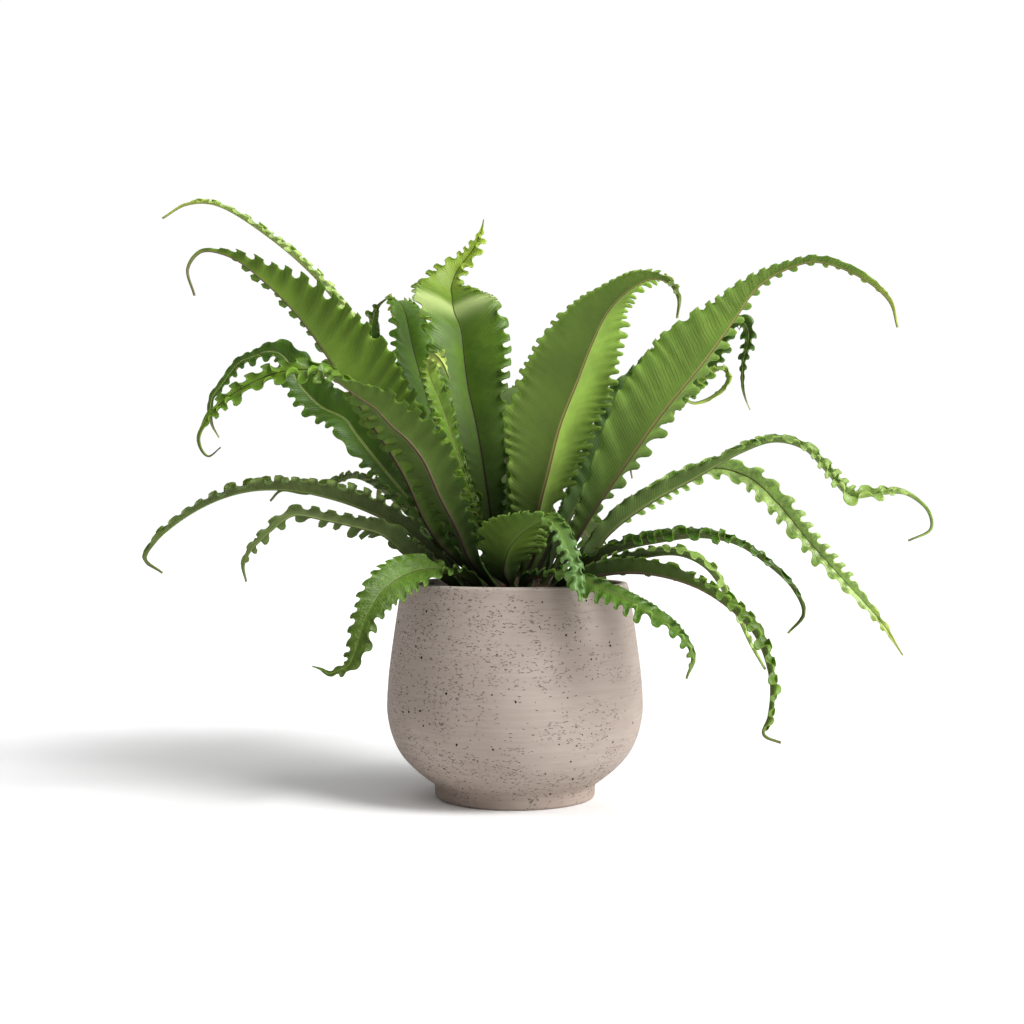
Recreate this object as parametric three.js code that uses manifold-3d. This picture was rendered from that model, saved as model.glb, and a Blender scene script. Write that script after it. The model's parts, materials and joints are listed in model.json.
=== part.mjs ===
// Potted bird's nest fern with crimped fronds, in a round cast pot.
// Millimetres, +Z up. The origin is the middle of the pot's foot, on the surface that it stands on.
// -Y is the plant's front. A frond's azimuth is counted from +X towards +Y, in degrees.

import * as THREE from "three";
import { mergeVertices } from "three/addons/utils/BufferGeometryUtils.js";
import Module from "manifold-3d";

const wasm = await Module();
wasm.setup();

// Driving sizes of the pot
const POT_HEIGHT = 159;
const RIM_RADIUS = 84;
const BELLY_RADIUS = 95;
const BELLY_HEIGHT = 70;
const FOOT_RADIUS = 59;
const FOOT_HEIGHT = 10;
const WALL = 6;
const FLOOR_THICKNESS = 12;
const POT_SIDES = 48;

// Driving sizes of the soil and the crown
const SOIL_TOP = 141;
const SEAT_GAP = 0.3;
const CROWN_RADIUS = 36;
const CROWN_BOTTOM = 130;
const CROWN_TOP = 166;
const CROWN_SHOULDER = 145;
const CROWN_SIDES = 24;
const CROWN_RING_SHARES = [1, 0.78, 0.52, 0.26];

// Driving sizes of a frond
const RING_RADII = [9, 19, 29];
const STALK_WIDTH = 6.4;
const STALK_DEPTH = 4;
const STUB_LENGTH = 11;
const SUNK_DEPTH = 8;
const HOLE_LENGTH = 32;
const BLADE_THICKNESS = 1;
const KEEL_AT_BASE = 3.6;
const KEEL_AT_TIP = 1.3;
const TIP_HALF_WIDTH = 0.9;
const CRIMP_START = 0.12;
const CRIMP_SHARE = 0.3;
const CRIMP_LIMIT = 4.5;
const CRIMP_LEAST = 1.4;

const LEAF_GREEN = 0x4d7f2a;
const MERGE_DISTANCE = 1e-4;
const CURVE_DIVISIONS = 400;

const radians = THREE.MathUtils.degToRad;

function material(colour, roughness) {
  return new THREE.MeshStandardMaterial({ color: colour, roughness, metalness: 0 });
}

function named(name, geometry, finish) {
  const mesh = new THREE.Mesh(geometry, finish);
  mesh.name = name;
  return mesh;
}

// A closed geometry becomes a solid that can be cut or joined, and comes back as a geometry.

function toSolid(geometry) {
  const bare = geometry.clone();
  bare.deleteAttribute("normal");
  bare.deleteAttribute("uv");
  const merged = mergeVertices(bare, MERGE_DISTANCE);
  return new wasm.Manifold(new wasm.Mesh({
    numProp: 3,
    vertProperties: new Float32Array(merged.attributes.position.array),
    triVerts: new Uint32Array(merged.index.array),
  }));
}

function toGeometry(solid) {
  const mesh = solid.getMesh();
  const geometry = new THREE.BufferGeometry();
  geometry.setAttribute("position", new THREE.BufferAttribute(new Float32Array(mesh.vertProperties), 3));
  geometry.setIndex(new THREE.BufferAttribute(new Uint32Array(mesh.triVerts), 1));
  geometry.computeVertexNormals();
  return geometry;
}

// A profile of [radius, height] points turned about Z. It starts and ends on the axis.

function turned(profile, sides) {
  const points = profile.map(([radius, height]) => new THREE.Vector2(radius, height));
  const geometry = new THREE.LatheGeometry(points, sides);
  geometry.rotateX(Math.PI / 2);
  return geometry;
}

// The pot: the outside from the foot up to the rim, then down the inside to the floor

const INNER_WALL = [
  [52, FLOOR_THICKNESS],
  [70, 24],
  [82, 38],
  [BELLY_RADIUS - WALL, BELLY_HEIGHT - 6],
  [BELLY_RADIUS - WALL - 0.6, 88],
  [83.5, 120],
  [79.5, SOIL_TOP],
];

const OUTER_WALL = [
  [56.5, 0],
  [FOOT_RADIUS, 2.5],
  [FOOT_RADIUS + 1, FOOT_HEIGHT],
  [66.5, 15],
  [77, 24],
  [85.5, 34],
  [91.5, 47],
  [BELLY_RADIUS - 0.4, 61],
  [BELLY_RADIUS, BELLY_HEIGHT],
  [93.8, 90],
  [91, 113],
  [87.5, 137],
  [RIM_RADIUS + 1, 153],
  [RIM_RADIUS, POT_HEIGHT - 1.5],
  [RIM_RADIUS - 1.5, POT_HEIGHT],
];

function pot() {
  const profile = [
    [0, 0],
    ...OUTER_WALL,
    [RIM_RADIUS - WALL + 1, POT_HEIGHT - 0.5],
    ...INNER_WALL.toReversed(),
    [0, FLOOR_THICKNESS],
  ];
  return named("pot", turned(profile, POT_SIDES), material(0xb8aa9e, 0.85));
}

// The soil fills the pot up to SOIL_TOP, with a shallow round seat in its middle for the crown.

function soil() {
  const side = INNER_WALL.map(([radius, height]) => [radius - SEAT_GAP, height + SEAT_GAP]);
  const profile = [
    [0, FLOOR_THICKNESS + SEAT_GAP],
    ...side,
    [60, SOIL_TOP + 1],
    [CROWN_RADIUS + SEAT_GAP, SOIL_TOP + 2],
    [CROWN_RADIUS + SEAT_GAP, CROWN_BOTTOM - SEAT_GAP],
    [0, CROWN_BOTTOM - SEAT_GAP],
  ];
  return named("soil", turned(profile, POT_SIDES), material(0x33261c, 0.95));
}

// The crown: a low dome. A frond leaves it at one of three rings.

function crownHeight(radius) {
  const share = Math.min(radius / CROWN_RADIUS, 1);
  return CROWN_TOP - (CROWN_TOP - CROWN_SHOULDER) * share * share;
}

function crownBody() {
  const rings = CROWN_RING_SHARES.map((share) => {
    const radius = CROWN_RADIUS * share;
    return [radius, crownHeight(radius)];
  });
  const profile = [[0, CROWN_BOTTOM], [CROWN_RADIUS, CROWN_BOTTOM], ...rings, [0, CROWN_TOP]];
  return toSolid(turned(profile, CROWN_SIDES));
}

// The fronds: azimuth and ring of the foot, then the midrib's points from above the crown to the
// tip. Half widths are spaced evenly from stalk to tip, and without a right list both halves are
// alike. The right half is on the right hand of a frond that is looked along from its foot with
// its upper face up. fold is how far each half rises from flat, and roll is the blade's turn
// about its midrib, from foot to tip, both in degrees. waves counts the crimps of a margin.

const FRONDS = [
  {
    name: "frond_left_back_high", azimuth: 152, ring: 1,
    path: [[-48, 20, 212], [-78, 30, 262], [-109, 42, 329], [-148, 58, 387], [-195, 70, 430],
      [-240, 78, 457], [-264, 82, 457], [-283, 85, 447]],
    left: [3.2, 7, 9, 9.5, 8.5, 7, 5.5, 4, 1], fold: 30, roll: [0, 0, -15, 0], waves: 26,
    colour: 0x7f9a48,
  },
  {
    name: "frond_left_front_high", azimuth: 203, ring: 1,
    path: [[-59, -14, 194], [-83, -22, 242], [-116, -34, 294], [-153, -46, 349], [-179, -54, 376],
      [-200, -60, 391], [-220, -64, 394], [-229, -68, 381], [-224, -70, 362]],
    left: [3.2, 6, 9, 18, 28, 33, 38, 40, 41, 37, 32, 25, 16, 7, 1.8, 1.3, 0.9],
    right: [3.2, 6, 9, 12, 16, 18, 20, 21, 22, 20, 17, 13, 9, 4, 1.7, 1.3, 0.9],
    fold: 40, roll: [0, -28, -30, -25, 0], waves: 26, colour: 0x55802e,
  },
  {
    name: "frond_left_back_mid", azimuth: 178, ring: 1,
    path: [[-60, 12, 192], [-83, 20, 222], [-103, 30, 246], [-123, 39, 271], [-131, 42, 282],
      [-150, 48, 292], [-159, 51, 300], [-170, 54, 313], [-176, 57, 326], [-184, 59, 335],
      [-194, 61, 337], [-207, 64, 333], [-217, 66, 329], [-232, 68, 311], [-239, 69, 302],
      [-241, 70, 292], [-240, 71, 280], [-235, 72, 270]],
    left: [3.2, 5, 8, 11, 14, 17, 17, 14, 8, 5, 4, 2, 1],
    right: [3.2, 5, 9, 14, 19, 21, 20, 20, 16, 5, 4, 3, 1],
    fold: 18, roll: [0, 25, 50, 60, 75, 90, 95], waves: 26, colour: 0x3a5e24,
  },
  {
    name: "frond_left_front_mid", azimuth: 234, ring: 1,
    path: [[-32, -30, 176], [-41, -40, 198], [-53, -56, 222], [-64, -70, 247], [-74, -79, 261],
      [-85, -85, 271], [-95, -90, 282], [-103, -93, 288], [-110, -96, 293], [-123, -101, 302],
      [-136, -105, 306], [-155, -109, 305], [-168, -111, 301], [-188, -114, 290],
      [-201, -116, 278], [-208, -117, 268], [-211, -117, 260], [-208, -118, 251],
      [-204, -118, 248], [-196, -118, 254]],
    left: [3.2, 8, 13, 18, 22, 21, 17, 12, 7, 6, 4, 1.2, 0.9],
    right: [3.2, 8.5, 11, 13, 17, 18, 16, 11, 7, 6, 4, 1.2, 0.9],
    fold: 20, roll: [0, -15, -28, -5, 85, 95, 95], waves: 28, colour: 0x5d8438,
  },
  {
    name: "frond_left_low_long", azimuth: 187, ring: 2,
    path: [[-55, -4, 176], [-84, -8, 200], [-113, -18, 215], [-141, -30, 224], [-165, -38, 228],
      [-190, -44, 227], [-213, -50, 220], [-237, -55, 206], [-254, -60, 190], [-260, -62, 178],
      [-248, -63, 168]],
    left: [3.2, 9, 16, 18, 12, 8, 6, 4, 1], fold: 35, roll: [0, -10, 0], waves: 24,
    colour: 0x40612c,
  },
  {
    name: "frond_left_low_mid", azimuth: 210, ring: 2,
    path: [[-62, -30, 170], [-80, -36, 182], [-94, -46, 195], [-116, -56, 202], [-134, -63, 206],
      [-148, -69, 209], [-155, -71, 209], [-162, -74, 205], [-176, -79, 192], [-183, -82, 184],
      [-187, -84, 174], [-185, -86, 163]],
    left: [3.2, 10, 14, 12, 7, 6, 5, 3, 1], fold: 30, roll: [0, -15, -30, -50, -60], waves: 17,
    colour: 0x3c5e2a,
  },
  {
    name: "frond_left_back_low", azimuth: 160, ring: 2,
    path: [[-73, 40, 200], [-105, 49, 230], [-126, 56, 239], [-142, 62, 234], [-163, 66, 226],
      [-185, 68, 228], [-194, 70, 220]],
    left: [3.2, 9, 12, 9, 5, 3, 1], fold: 20, roll: [0, 0], waves: 14, colour: 0x36522a,
  },
  {
    name: "frond_left_rim", azimuth: 236, ring: 2,
    path: [[-34, -42, 164], [-50, -53, 170], [-66, -64, 170], [-76, -72, 167], [-85, -80, 162],
      [-92, -86, 156], [-97, -91, 148], [-102, -95, 138], [-106, -98, 125], [-109, -100, 115],
      [-113, -101, 107], [-119, -103, 104], [-126, -104, 102], [-131, -104, 105],
      [-137, -104, 107]],
    left: [3.2, 7, 11, 12, 14, 14, 14, 12, 7, 9, 5.5, 2, 1],
    right: [3.2, 7, 12, 13, 15, 15, 14, 12, 8.5, 7, 3.5, 2, 1],
    fold: 10, roll: [0, 5, 50, 72, 62, 60, 60], waves: 18, colour: 0x63903e,
  },
  {
    name: "frond_centre_left_tall", azimuth: 110, ring: 0,
    path: [[-15, 14, 185], [-21, 19, 222], [-27, 24, 261], [-31, 30, 282], [-36, 36, 304],
      [-39, 40, 325], [-41, 42, 344], [-43, 46, 355], [-47, 54, 365], [-49, 64, 373],
      [-50, 73, 381], [-51, 80, 390], [-48, 85, 401], [-42, 87, 411], [-34, 87, 421],
      [-29, 86, 431], [-26, 86, 440], [-25, 86, 446]],
    left: [3.2, 7, 11, 15, 19, 23, 26, 28, 29, 31, 33, 35, 34, 20, 8, 4, 1],
    right: [3.2, 7.5, 12, 14, 17.5, 21, 24, 29, 33, 36, 36, 35, 23, 7, 7, 5, 1],
    fold: 24, roll: [0, 8, 14, 14, 14], waves: 26, colour: 0x5b9434,
  },
  {
    name: "frond_centre_right_tall", azimuth: 290, ring: 0,
    path: [[14, -18, 180], [17, -25, 212], [24, -35, 241], [32, -45, 273], [44, -55, 304],
      [54, -65, 330], [64, -78, 350], [78, -95, 363], [91, -108, 368], [102, -118, 364],
      [108, -124, 352], [107, -126, 339]],
    left: [3.2, 13, 27, 36, 36, 26, 12, 6, 1],
    right: [3.2, 14, 28, 39, 39, 31, 14, 6, 1],
    fold: 22, roll: [0, 10, 10, 0], waves: 26, colour: 0x759a38,
  },
  {
    name: "frond_right_tall", azimuth: 335, ring: 1,
    path: [[42, -20, 188], [57, -27, 213], [76, -34, 241], [104, -44, 281], [131, -54, 315],
      [154, -62, 347], [163, -65, 361], [171, -67, 370], [185, -70, 379], [208, -76, 385],
      [238, -81, 374], [258, -84, 356], [263, -86, 338]],
    left: [3.2, 6, 10, 16, 21, 22, 24, 23, 18, 13, 6, 4, 4, 4, 3.5, 2.5, 1],
    right: [3.2, 6, 10, 16, 23, 29, 34, 36, 36, 30, 20, 9, 5, 5, 4.5, 3, 1],
    fold: 28, roll: [0, 28, 30, 25, 0], waves: 28, colour: 0x6c9338,
  },
  {
    name: "frond_right_behind", azimuth: 5, ring: 1,
    path: [[34, 8, 194], [49, 12, 222], [68, 6, 251], [95, 0, 291], [114, -4, 323],
      [124, -6, 342], [129, -6, 353]],
    left: [3.2, 9, 16, 24, 26, 15, 1],
    right: [3.2, 9, 14, 23, 30, 18, 1],
    fold: 28, roll: [0, 40, 45, 45], waves: 18, colour: 0x44683c,
  },
  {
    name: "frond_right_back_hook", azimuth: 49, ring: 1,
    path: [[41, 50, 212], [70, 76, 256], [108, 96, 292], [147, 106, 322], [166, 108, 346],
      [173, 108, 359], [180, 107, 367], [187, 106, 366], [191, 105, 358], [190, 104, 347],
      [187, 104, 336], [186, 104, 325], [186, 104, 314], [188, 104, 304], [192, 104, 294]],
    left: [3.2, 5, 7, 12, 17, 18, 18, 16, 11, 7, 4.5, 1.8, 0.8],
    right: [3.2, 4, 5, 7, 12, 15, 17, 17, 12, 7, 4.5, 1.8, 0.8],
    fold: 20, roll: [0, 5, -20, -45, -55], waves: 22, colour: 0x3f6a2c,
  },
  {
    name: "frond_right_back_curl", azimuth: 36, ring: 2,
    path: [[58, 42, 212], [90, 48, 256], [121, 52, 288], [143, 54, 309], [154, 56, 320],
      [162, 58, 324], [168, 60, 319], [166, 62, 311], [159, 64, 304], [150, 66, 299],
      [141, 66, 297], [134, 66, 301], [132, 66, 309]],
    left: [3.2, 5, 6.5, 10, 14, 13, 9.5, 6.5, 4.5, 4.2, 3, 2, 1],
    fold: 20, roll: [0, 20, 0], waves: 18,
    colour: 0x557f30,
  },
  {
    name: "frond_right_upper_long", azimuth: 352, ring: 2,
    path: [[71, 3, 197], [101, 6, 219], [132, 8, 236], [170, 10, 257], [196, 12, 265],
      [219, 14, 259], [235, 15, 243], [254, 16, 223], [277, 17, 225], [296, 18, 225],
      [313, 18, 212], [315, 18, 198], [298, 18, 189]],
    left: [3.2, 6.5, 10.5, 12.5, 12.5, 10.5, 8.5, 6.5, 5.5, 5, 5.5, 6.5, 7, 5, 2, 1.3, 1],
    fold: 42, roll: [0, 15, 15, 5, -25, -60, -70, -20, 0], waves: 26,
    colour: 0x537a34,
  },
  {
    name: "frond_right_drooping", azimuth: 14, ring: 2,
    path: [[58, 21, 186], [82, 34, 204], [118, 46, 228], [153, 42, 244], [180, 33, 237],
      [201, 22, 216], [222, 12, 188], [244, 4, 162], [271, -4, 130], [287, -8, 105]],
    left: [3.2, 6, 9, 11, 11, 8, 8.5, 10, 8, 7, 5.5, 3, 1.2],
    fold: 25, roll: [0, -10, -40, -62, -60, -55, -50], waves: 22,
    colour: 0x86a860,
  },
  {
    name: "frond_right_mid", azimuth: 326, ring: 2,
    path: [[49, -28, 172], [77, -36, 185], [104, -44, 191], [132, -50, 194], [157, -56, 189],
      [178, -60, 175], [195, -64, 158], [202, -66, 140], [191, -68, 126]],
    left: [3.2, 8, 11, 10, 7, 5, 4.2, 2.5, 1], fold: 35, roll: [0, -20, -35, -30, -20], waves: 18,
    colour: 0x4a6e32,
  },
  {
    name: "frond_right_mid_pale", azimuth: 311, ring: 2,
    path: [[60, -48, 170], [88, -62, 180], [115, -72, 182], [134, -76, 172], [152, -80, 143],
      [163, -84, 119], [172, -86, 103]],
    left: [3.2, 8, 12, 11, 7, 4, 1], fold: 20, roll: [0, -20, -20], waves: 14, colour: 0x678a4e,
  },
  {
    name: "frond_right_low", azimuth: 296, ring: 2,
    path: [[53, -60, 166], [87, -78, 170], [119, -96, 163], [141, -108, 150], [160, -118, 130],
      [169, -126, 100], [167, -130, 77], [163, -132, 65], [174, -133, 60]],
    left: [3.2, 9, 14, 15, 11, 8, 5, 1], fold: 22, roll: [0, 0, -20, 0], waves: 20,
    colour: 0x44682e,
  },
  {
    name: "frond_front_right", azimuth: 277, ring: 2,
    path: [[10, -50, 164], [30, -70, 168], [44, -81, 165], [58, -92, 159], [84, -107, 147],
      [106, -119, 133], [117, -124, 116], [113, -127, 101]],
    left: [3.2, 8, 8, 8.6, 7.5, 4.5, 1],
    right: [3.2, 9, 13, 16, 12, 5.5, 1],
    fold: 14, roll: [0, -25, -45, -40, -30], waves: 15, colour: 0x5b8a38,
  },
  {
    name: "frond_front_centre", azimuth: 268, ring: 1,
    path: [[-8, -38, 170], [-3, -53, 188], [9, -66, 201], [21, -78, 206], [31, -88, 197],
      [35, -95, 187], [39, -100, 177], [42, -107, 162], [44, -110, 151]],
    left: [3.2, 17, 26, 18, 10, 8, 6.2, 3.5], fold: 18, roll: [0, 0, -30, -50, -50], waves: 13,
    colour: 0x5f9240,
  },
  {
    name: "frond_back_left_bright", azimuth: 121, ring: 1,
    path: [[-28, 46, 200], [-48, 60, 240], [-67, 78, 290], [-83, 94, 344], [-90, 106, 374],
      [-98, 128, 386], [-104, 154, 374]],
    left: [3.2, 8, 19, 27, 24, 13, 1], fold: 16, roll: [0, 0], waves: 17, colour: 0x5c9a34,
  },
  {
    name: "frond_back_left_dark", azimuth: 139, ring: 2,
    path: [[-54, 56, 200], [-84, 82, 258], [-107, 96, 315], [-117, 101, 355], [-113, 102, 377],
      [-104, 98, 384]],
    left: [3.2, 7, 13, 16, 16, 14, 12, 8, 1], fold: 15, roll: [0, 0], waves: 16, colour: 0x34581f,
  },
  {
    name: "frond_young_left", azimuth: 190, ring: 0,
    path: [[-26, 0, 205], [-44, -4, 257], [-55, -6, 290], [-64, -12, 314], [-61, -25, 326],
      [-53, -34, 319], [-48, -34, 308]],
    left: [3.2, 8, 13, 15, 12, 7, 1.5],
    right: [3.2, 4, 4, 6, 11, 8, 1.5],
    fold: 20, roll: [30, 60, 60], waves: 14, colour: 0x7f9c4a,
  },
  {
    name: "frond_young_centre", azimuth: 50, ring: 0,
    path: [[0, 12, 220], [2, 20, 270], [5, 25, 296], [8, 29, 313]],
    left: [3.2, 6, 6, 4, 1.5], fold: 10, roll: [0, 0], waves: 10, colour: 0xa3b256,
  },
  {
    name: "frond_young_right", azimuth: 350, ring: 0,
    path: [[20, -4, 215], [36, -2, 258], [52, 4, 286], [66, 8, 300], [76, 4, 297]],
    left: [3.2, 6, 7, 5, 1.5], fold: 15, roll: [0, 0], waves: 10, colour: 0x9fb052,
  },
  {
    name: "frond_back_high", azimuth: 99, ring: 1,
    path: [[-6, 62, 238], [-12, 114, 294], [-16, 162, 312], [-20, 206, 295], [-22, 236, 260],
      [-21, 248, 232]],
    left: [3.2, 8, 19, 28, 26, 14, 6, 1], fold: 18, roll: [0, 0], waves: 20,
  },
  {
    name: "frond_back_right_high", azimuth: 77, ring: 1,
    path: [[10, 70, 226], [28, 122, 284], [56, 168, 304], [82, 208, 298], [100, 239, 272],
      [108, 252, 242]],
    left: [3.2, 8, 17, 27, 25, 13, 6, 1], fold: 18, roll: [0, 0], waves: 20,
  },
  {
    name: "frond_back_left_mid", azimuth: 116, ring: 2,
    path: [[-30, 80, 202], [-60, 128, 244], [-88, 174, 258], [-112, 212, 248], [-126, 238, 220]],
    left: [3.2, 8, 20, 25, 20, 9, 1], fold: 18, roll: [0, 0], waves: 18,
  },
  {
    name: "frond_back_right_low", azimuth: 66, ring: 2,
    path: [[26, 66, 182], [44, 110, 202], [60, 152, 194], [72, 184, 166], [78, 200, 132]],
    left: [3.2, 8, 19, 20, 14, 7, 1], fold: 18, roll: [0, 0], waves: 15,
  },
  {
    name: "frond_back_left_low", azimuth: 94, ring: 2,
    path: [[-8, 72, 176], [-26, 118, 192], [-46, 162, 186], [-60, 194, 160], [-66, 210, 128]],
    left: [3.2, 8, 19, 21, 15, 7, 1], fold: 18, roll: [0, 0], waves: 15,
  },
];

// A value read from evenly spaced ones, at a share of the way from the first to the last

function along(values, share) {
  const place = THREE.MathUtils.clamp(share, 0, 1) * (values.length - 1);
  const index = Math.min(Math.floor(place), values.length - 2);
  return THREE.MathUtils.lerp(values[index], values[index + 1], place - index);
}

function outwardAt(azimuth) {
  return new THREE.Vector3(Math.cos(radians(azimuth)), Math.sin(radians(azimuth)), 0);
}

// The foot of a frond, a little way down in the crown

function footPoint({ azimuth, ring }) {
  const radius = RING_RADII[ring];
  return outwardAt(azimuth).multiplyScalar(radius).setZ(crownHeight(radius) - SUNK_DEPTH);
}

// A frame on the midrib: along it, upper face, and right hand

function frameOn(tangent, upper) {
  const up = upper.clone().addScaledVector(tangent, -upper.dot(tangent)).normalize();
  return { tangent, up, right: tangent.clone().cross(up) };
}

function rolled(frame, degrees) {
  const up = frame.up.clone().applyAxisAngle(frame.tangent, -radians(degrees));
  return frameOn(frame.tangent, up);
}

// The straight foot of the stalk, and the curve of the midrib that goes on from it

function midrib(frond) {
  const foot = footPoint(frond);
  const points = frond.path.map(([x, y, z]) => new THREE.Vector3(x, y, z));
  const lean = points[0].clone().sub(foot).normalize();
  const neck = foot.clone().addScaledVector(lean, STUB_LENGTH);
  const curve = new THREE.CatmullRomCurve3([neck, ...points], false, "centripetal");
  curve.arcLengthDivisions = CURVE_DIVISIONS;
  const upper = outwardAt(frond.azimuth).negate().setZ(1);
  return { foot, neck, curve, start: rolled(frameOn(lean, upper), frond.roll[0]) };
}

// Frames carried along the midrib without twist, then rolled about it

function framesAlong({ curve, start }, frond, count) {
  const frames = [];
  let upper = start.up;
  for (let step = 0; step <= count; step += 1) {
    const share = step / count;
    const frame = frameOn(curve.getTangentAt(share), upper);
    upper = frame.up;
    const turn = along(frond.roll, share) - frond.roll[0];
    frames.push({ at: curve.getPointAt(share), ...rolled(frame, turn) });
  }
  return frames;
}

// How far the crimped margin swings to either side of the blade

function crimpAt(share, halfWidth) {
  const grow = THREE.MathUtils.smoothstep(share, 0, CRIMP_START * 2);
  const swing = THREE.MathUtils.clamp(halfWidth * CRIMP_SHARE, CRIMP_LEAST, CRIMP_LIMIT);
  return grow * Math.min(swing, halfWidth);
}

// One margin point, on the upper and the lower face

function marginPoints(frond, frame, share, side, swing) {
  const halves = side > 0 ? frond.right ?? frond.left : frond.left;
  const half = Math.max(along(halves, share), TIP_HALF_WIDTH);
  const fold = radians(frond.fold) * THREE.MathUtils.smoothstep(share, 0, CRIMP_START);
  const out = frame.right.clone().multiplyScalar(side * Math.cos(fold))
    .addScaledVector(frame.up, Math.sin(fold));
  const face = frame.up.clone().multiplyScalar(Math.cos(fold))
    .addScaledVector(frame.right, -side * Math.sin(fold));
  const thick = THREE.MathUtils.lerp(STALK_DEPTH, BLADE_THICKNESS, Math.min(share / CRIMP_START, 1));
  const top = frame.at.clone().addScaledVector(out, half)
    .addScaledVector(face, swing * crimpAt(share, half) + thick / 2);
  return [top, top.clone().addScaledVector(face, -thick)];
}

function ribPoints(frame, share) {
  const keel = THREE.MathUtils.lerp(KEEL_AT_BASE, KEEL_AT_TIP, share);
  const depth = THREE.MathUtils.lerp(STALK_DEPTH, keel, Math.min(share / CRIMP_START, 1));
  const top = frame.at.clone().addScaledVector(frame.up, depth / 2);
  return [top, top.clone().addScaledVector(frame.up, -depth)];
}

// The foot's section: a plain rectangle, the same as the section at the start of the blade

function footColumn(frame, side) {
  const top = frame.at.clone().addScaledVector(frame.right, side * STALK_WIDTH / 2)
    .addScaledVector(frame.up, STALK_DEPTH / 2);
  return [top, top.clone().addScaledVector(frame.up, -STALK_DEPTH)];
}

// A frond's three columns, left margin, midrib and right margin, as lists of upper and lower
// points. Each wave of a margin takes two steps, and the midrib takes one step for a wave.

function frondColumns(frond) {
  const rib = midrib(frond);
  const steps = frond.waves * 2;
  const frames = framesAlong(rib, frond, steps);
  const foot = { at: rib.foot, ...rib.start };
  const neck = { at: rib.neck, ...rib.start };
  const margin = (side) => frames.slice(1).map((frame, index) => {
    const step = index + 1;
    const swing = step % 2 ? side : -side;
    return marginPoints(frond, frame, step / steps, side, step === steps ? 0 : swing);
  });
  const middle = frames.slice(1).flatMap((frame, index) => {
    const step = index + 1;
    return step % 2 ? [] : [ribPoints(frame, step / steps)];
  });
  return {
    left: [footColumn(foot, -1), footColumn(neck, -1), ...margin(-1)],
    middle: [footColumn(foot, 0), footColumn(neck, 0), ...middle],
    right: [footColumn(foot, 1), footColumn(neck, 1), ...margin(1)],
  };
}

// The frond as one closed solid: both faces are split into triangles alike.

function frondGeometry(frond) {
  const columns = frondColumns(frond);
  const positions = [];
  const faces = [];
  const numbered = {};
  for (const [name, column] of Object.entries(columns)) {
    numbered[name] = column.map((pair) => pair.map((point) => positions.push(point) - 1));
  }
  const both = (a, b, c, flip) => {
    const top = flip ? [a, c, b] : [a, b, c];
    faces.push(top.map((pair) => pair[0]));
    faces.push(top.toReversed().map((pair) => pair[1]));
  };
  const wall = (a, b, flip) => {
    const [first, last] = flip ? [b, a] : [a, b];
    faces.push([first[0], first[1], last[1]], [first[0], last[1], last[0]]);
  };
  const rib = numbered.middle;
  for (const [edge, flip] of [[numbered.left, true], [numbered.right, false]]) {
    both(rib[0], edge[0], edge[1], flip);
    both(rib[0], edge[1], rib[1], flip);
    wall(edge[0], edge[1], flip);
    for (let wave = 0; wave < frond.waves; wave += 1) {
      const [near, middle, far] = [0, 1, 2].map((step) => edge[1 + wave * 2 + step]);
      both(rib[wave + 1], near, middle, flip);
      both(rib[wave + 1], middle, rib[wave + 2], flip);
      both(rib[wave + 2], middle, far, flip);
      wall(near, middle, flip);
      wall(middle, far, flip);
    }
    wall(rib[0], edge[0], flip);
    wall(edge.at(-1), rib.at(-1), flip);
  }
  const geometry = new THREE.BufferGeometry();
  const flat = positions.flatMap((point) => point.toArray());
  geometry.setAttribute("position", new THREE.Float32BufferAttribute(flat, 3));
  geometry.setIndex(faces.flat());
  geometry.computeVertexNormals();
  return geometry;
}

// The plain hole in the crown that a frond's foot stands in

function stalkHole(frond) {
  const { foot, start } = midrib(frond);
  const width = STALK_WIDTH + 2 * SEAT_GAP;
  const depth = STALK_DEPTH + 2 * SEAT_GAP;
  const box = new THREE.BoxGeometry(width, depth, HOLE_LENGTH);
  box.translate(0, 0, HOLE_LENGTH / 2 - SEAT_GAP);
  const turn = new THREE.Matrix4().makeBasis(start.right.clone().negate(), start.up, start.tangent);
  box.applyMatrix4(turn.setPosition(foot));
  return toSolid(box);
}

function crown() {
  let body = crownBody();
  for (const frond of FRONDS) body = body.subtract(stalkHole(frond));
  return named("crown", toGeometry(body), material(0x4a3222, 0.9));
}

const group = new THREE.Group();
group.add(pot(), soil(), crown());
for (const frond of FRONDS) {
  group.add(named(frond.name, frondGeometry(frond), material(frond.colour ?? LEAF_GREEN, 0.5)));
}

export default group;
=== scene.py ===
"""A potted bird's nest fern with crimped fronds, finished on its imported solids.

Lengths that repeat the solids' driving sizes are in millimetres and become metres when a mesh is
made. The plant's front is towards -Y. The fronds' table, the pot's wall and the crown are the same
as in the solids, so each fine piece keeps the form of the node that it replaces.
"""

import json
import math

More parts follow.
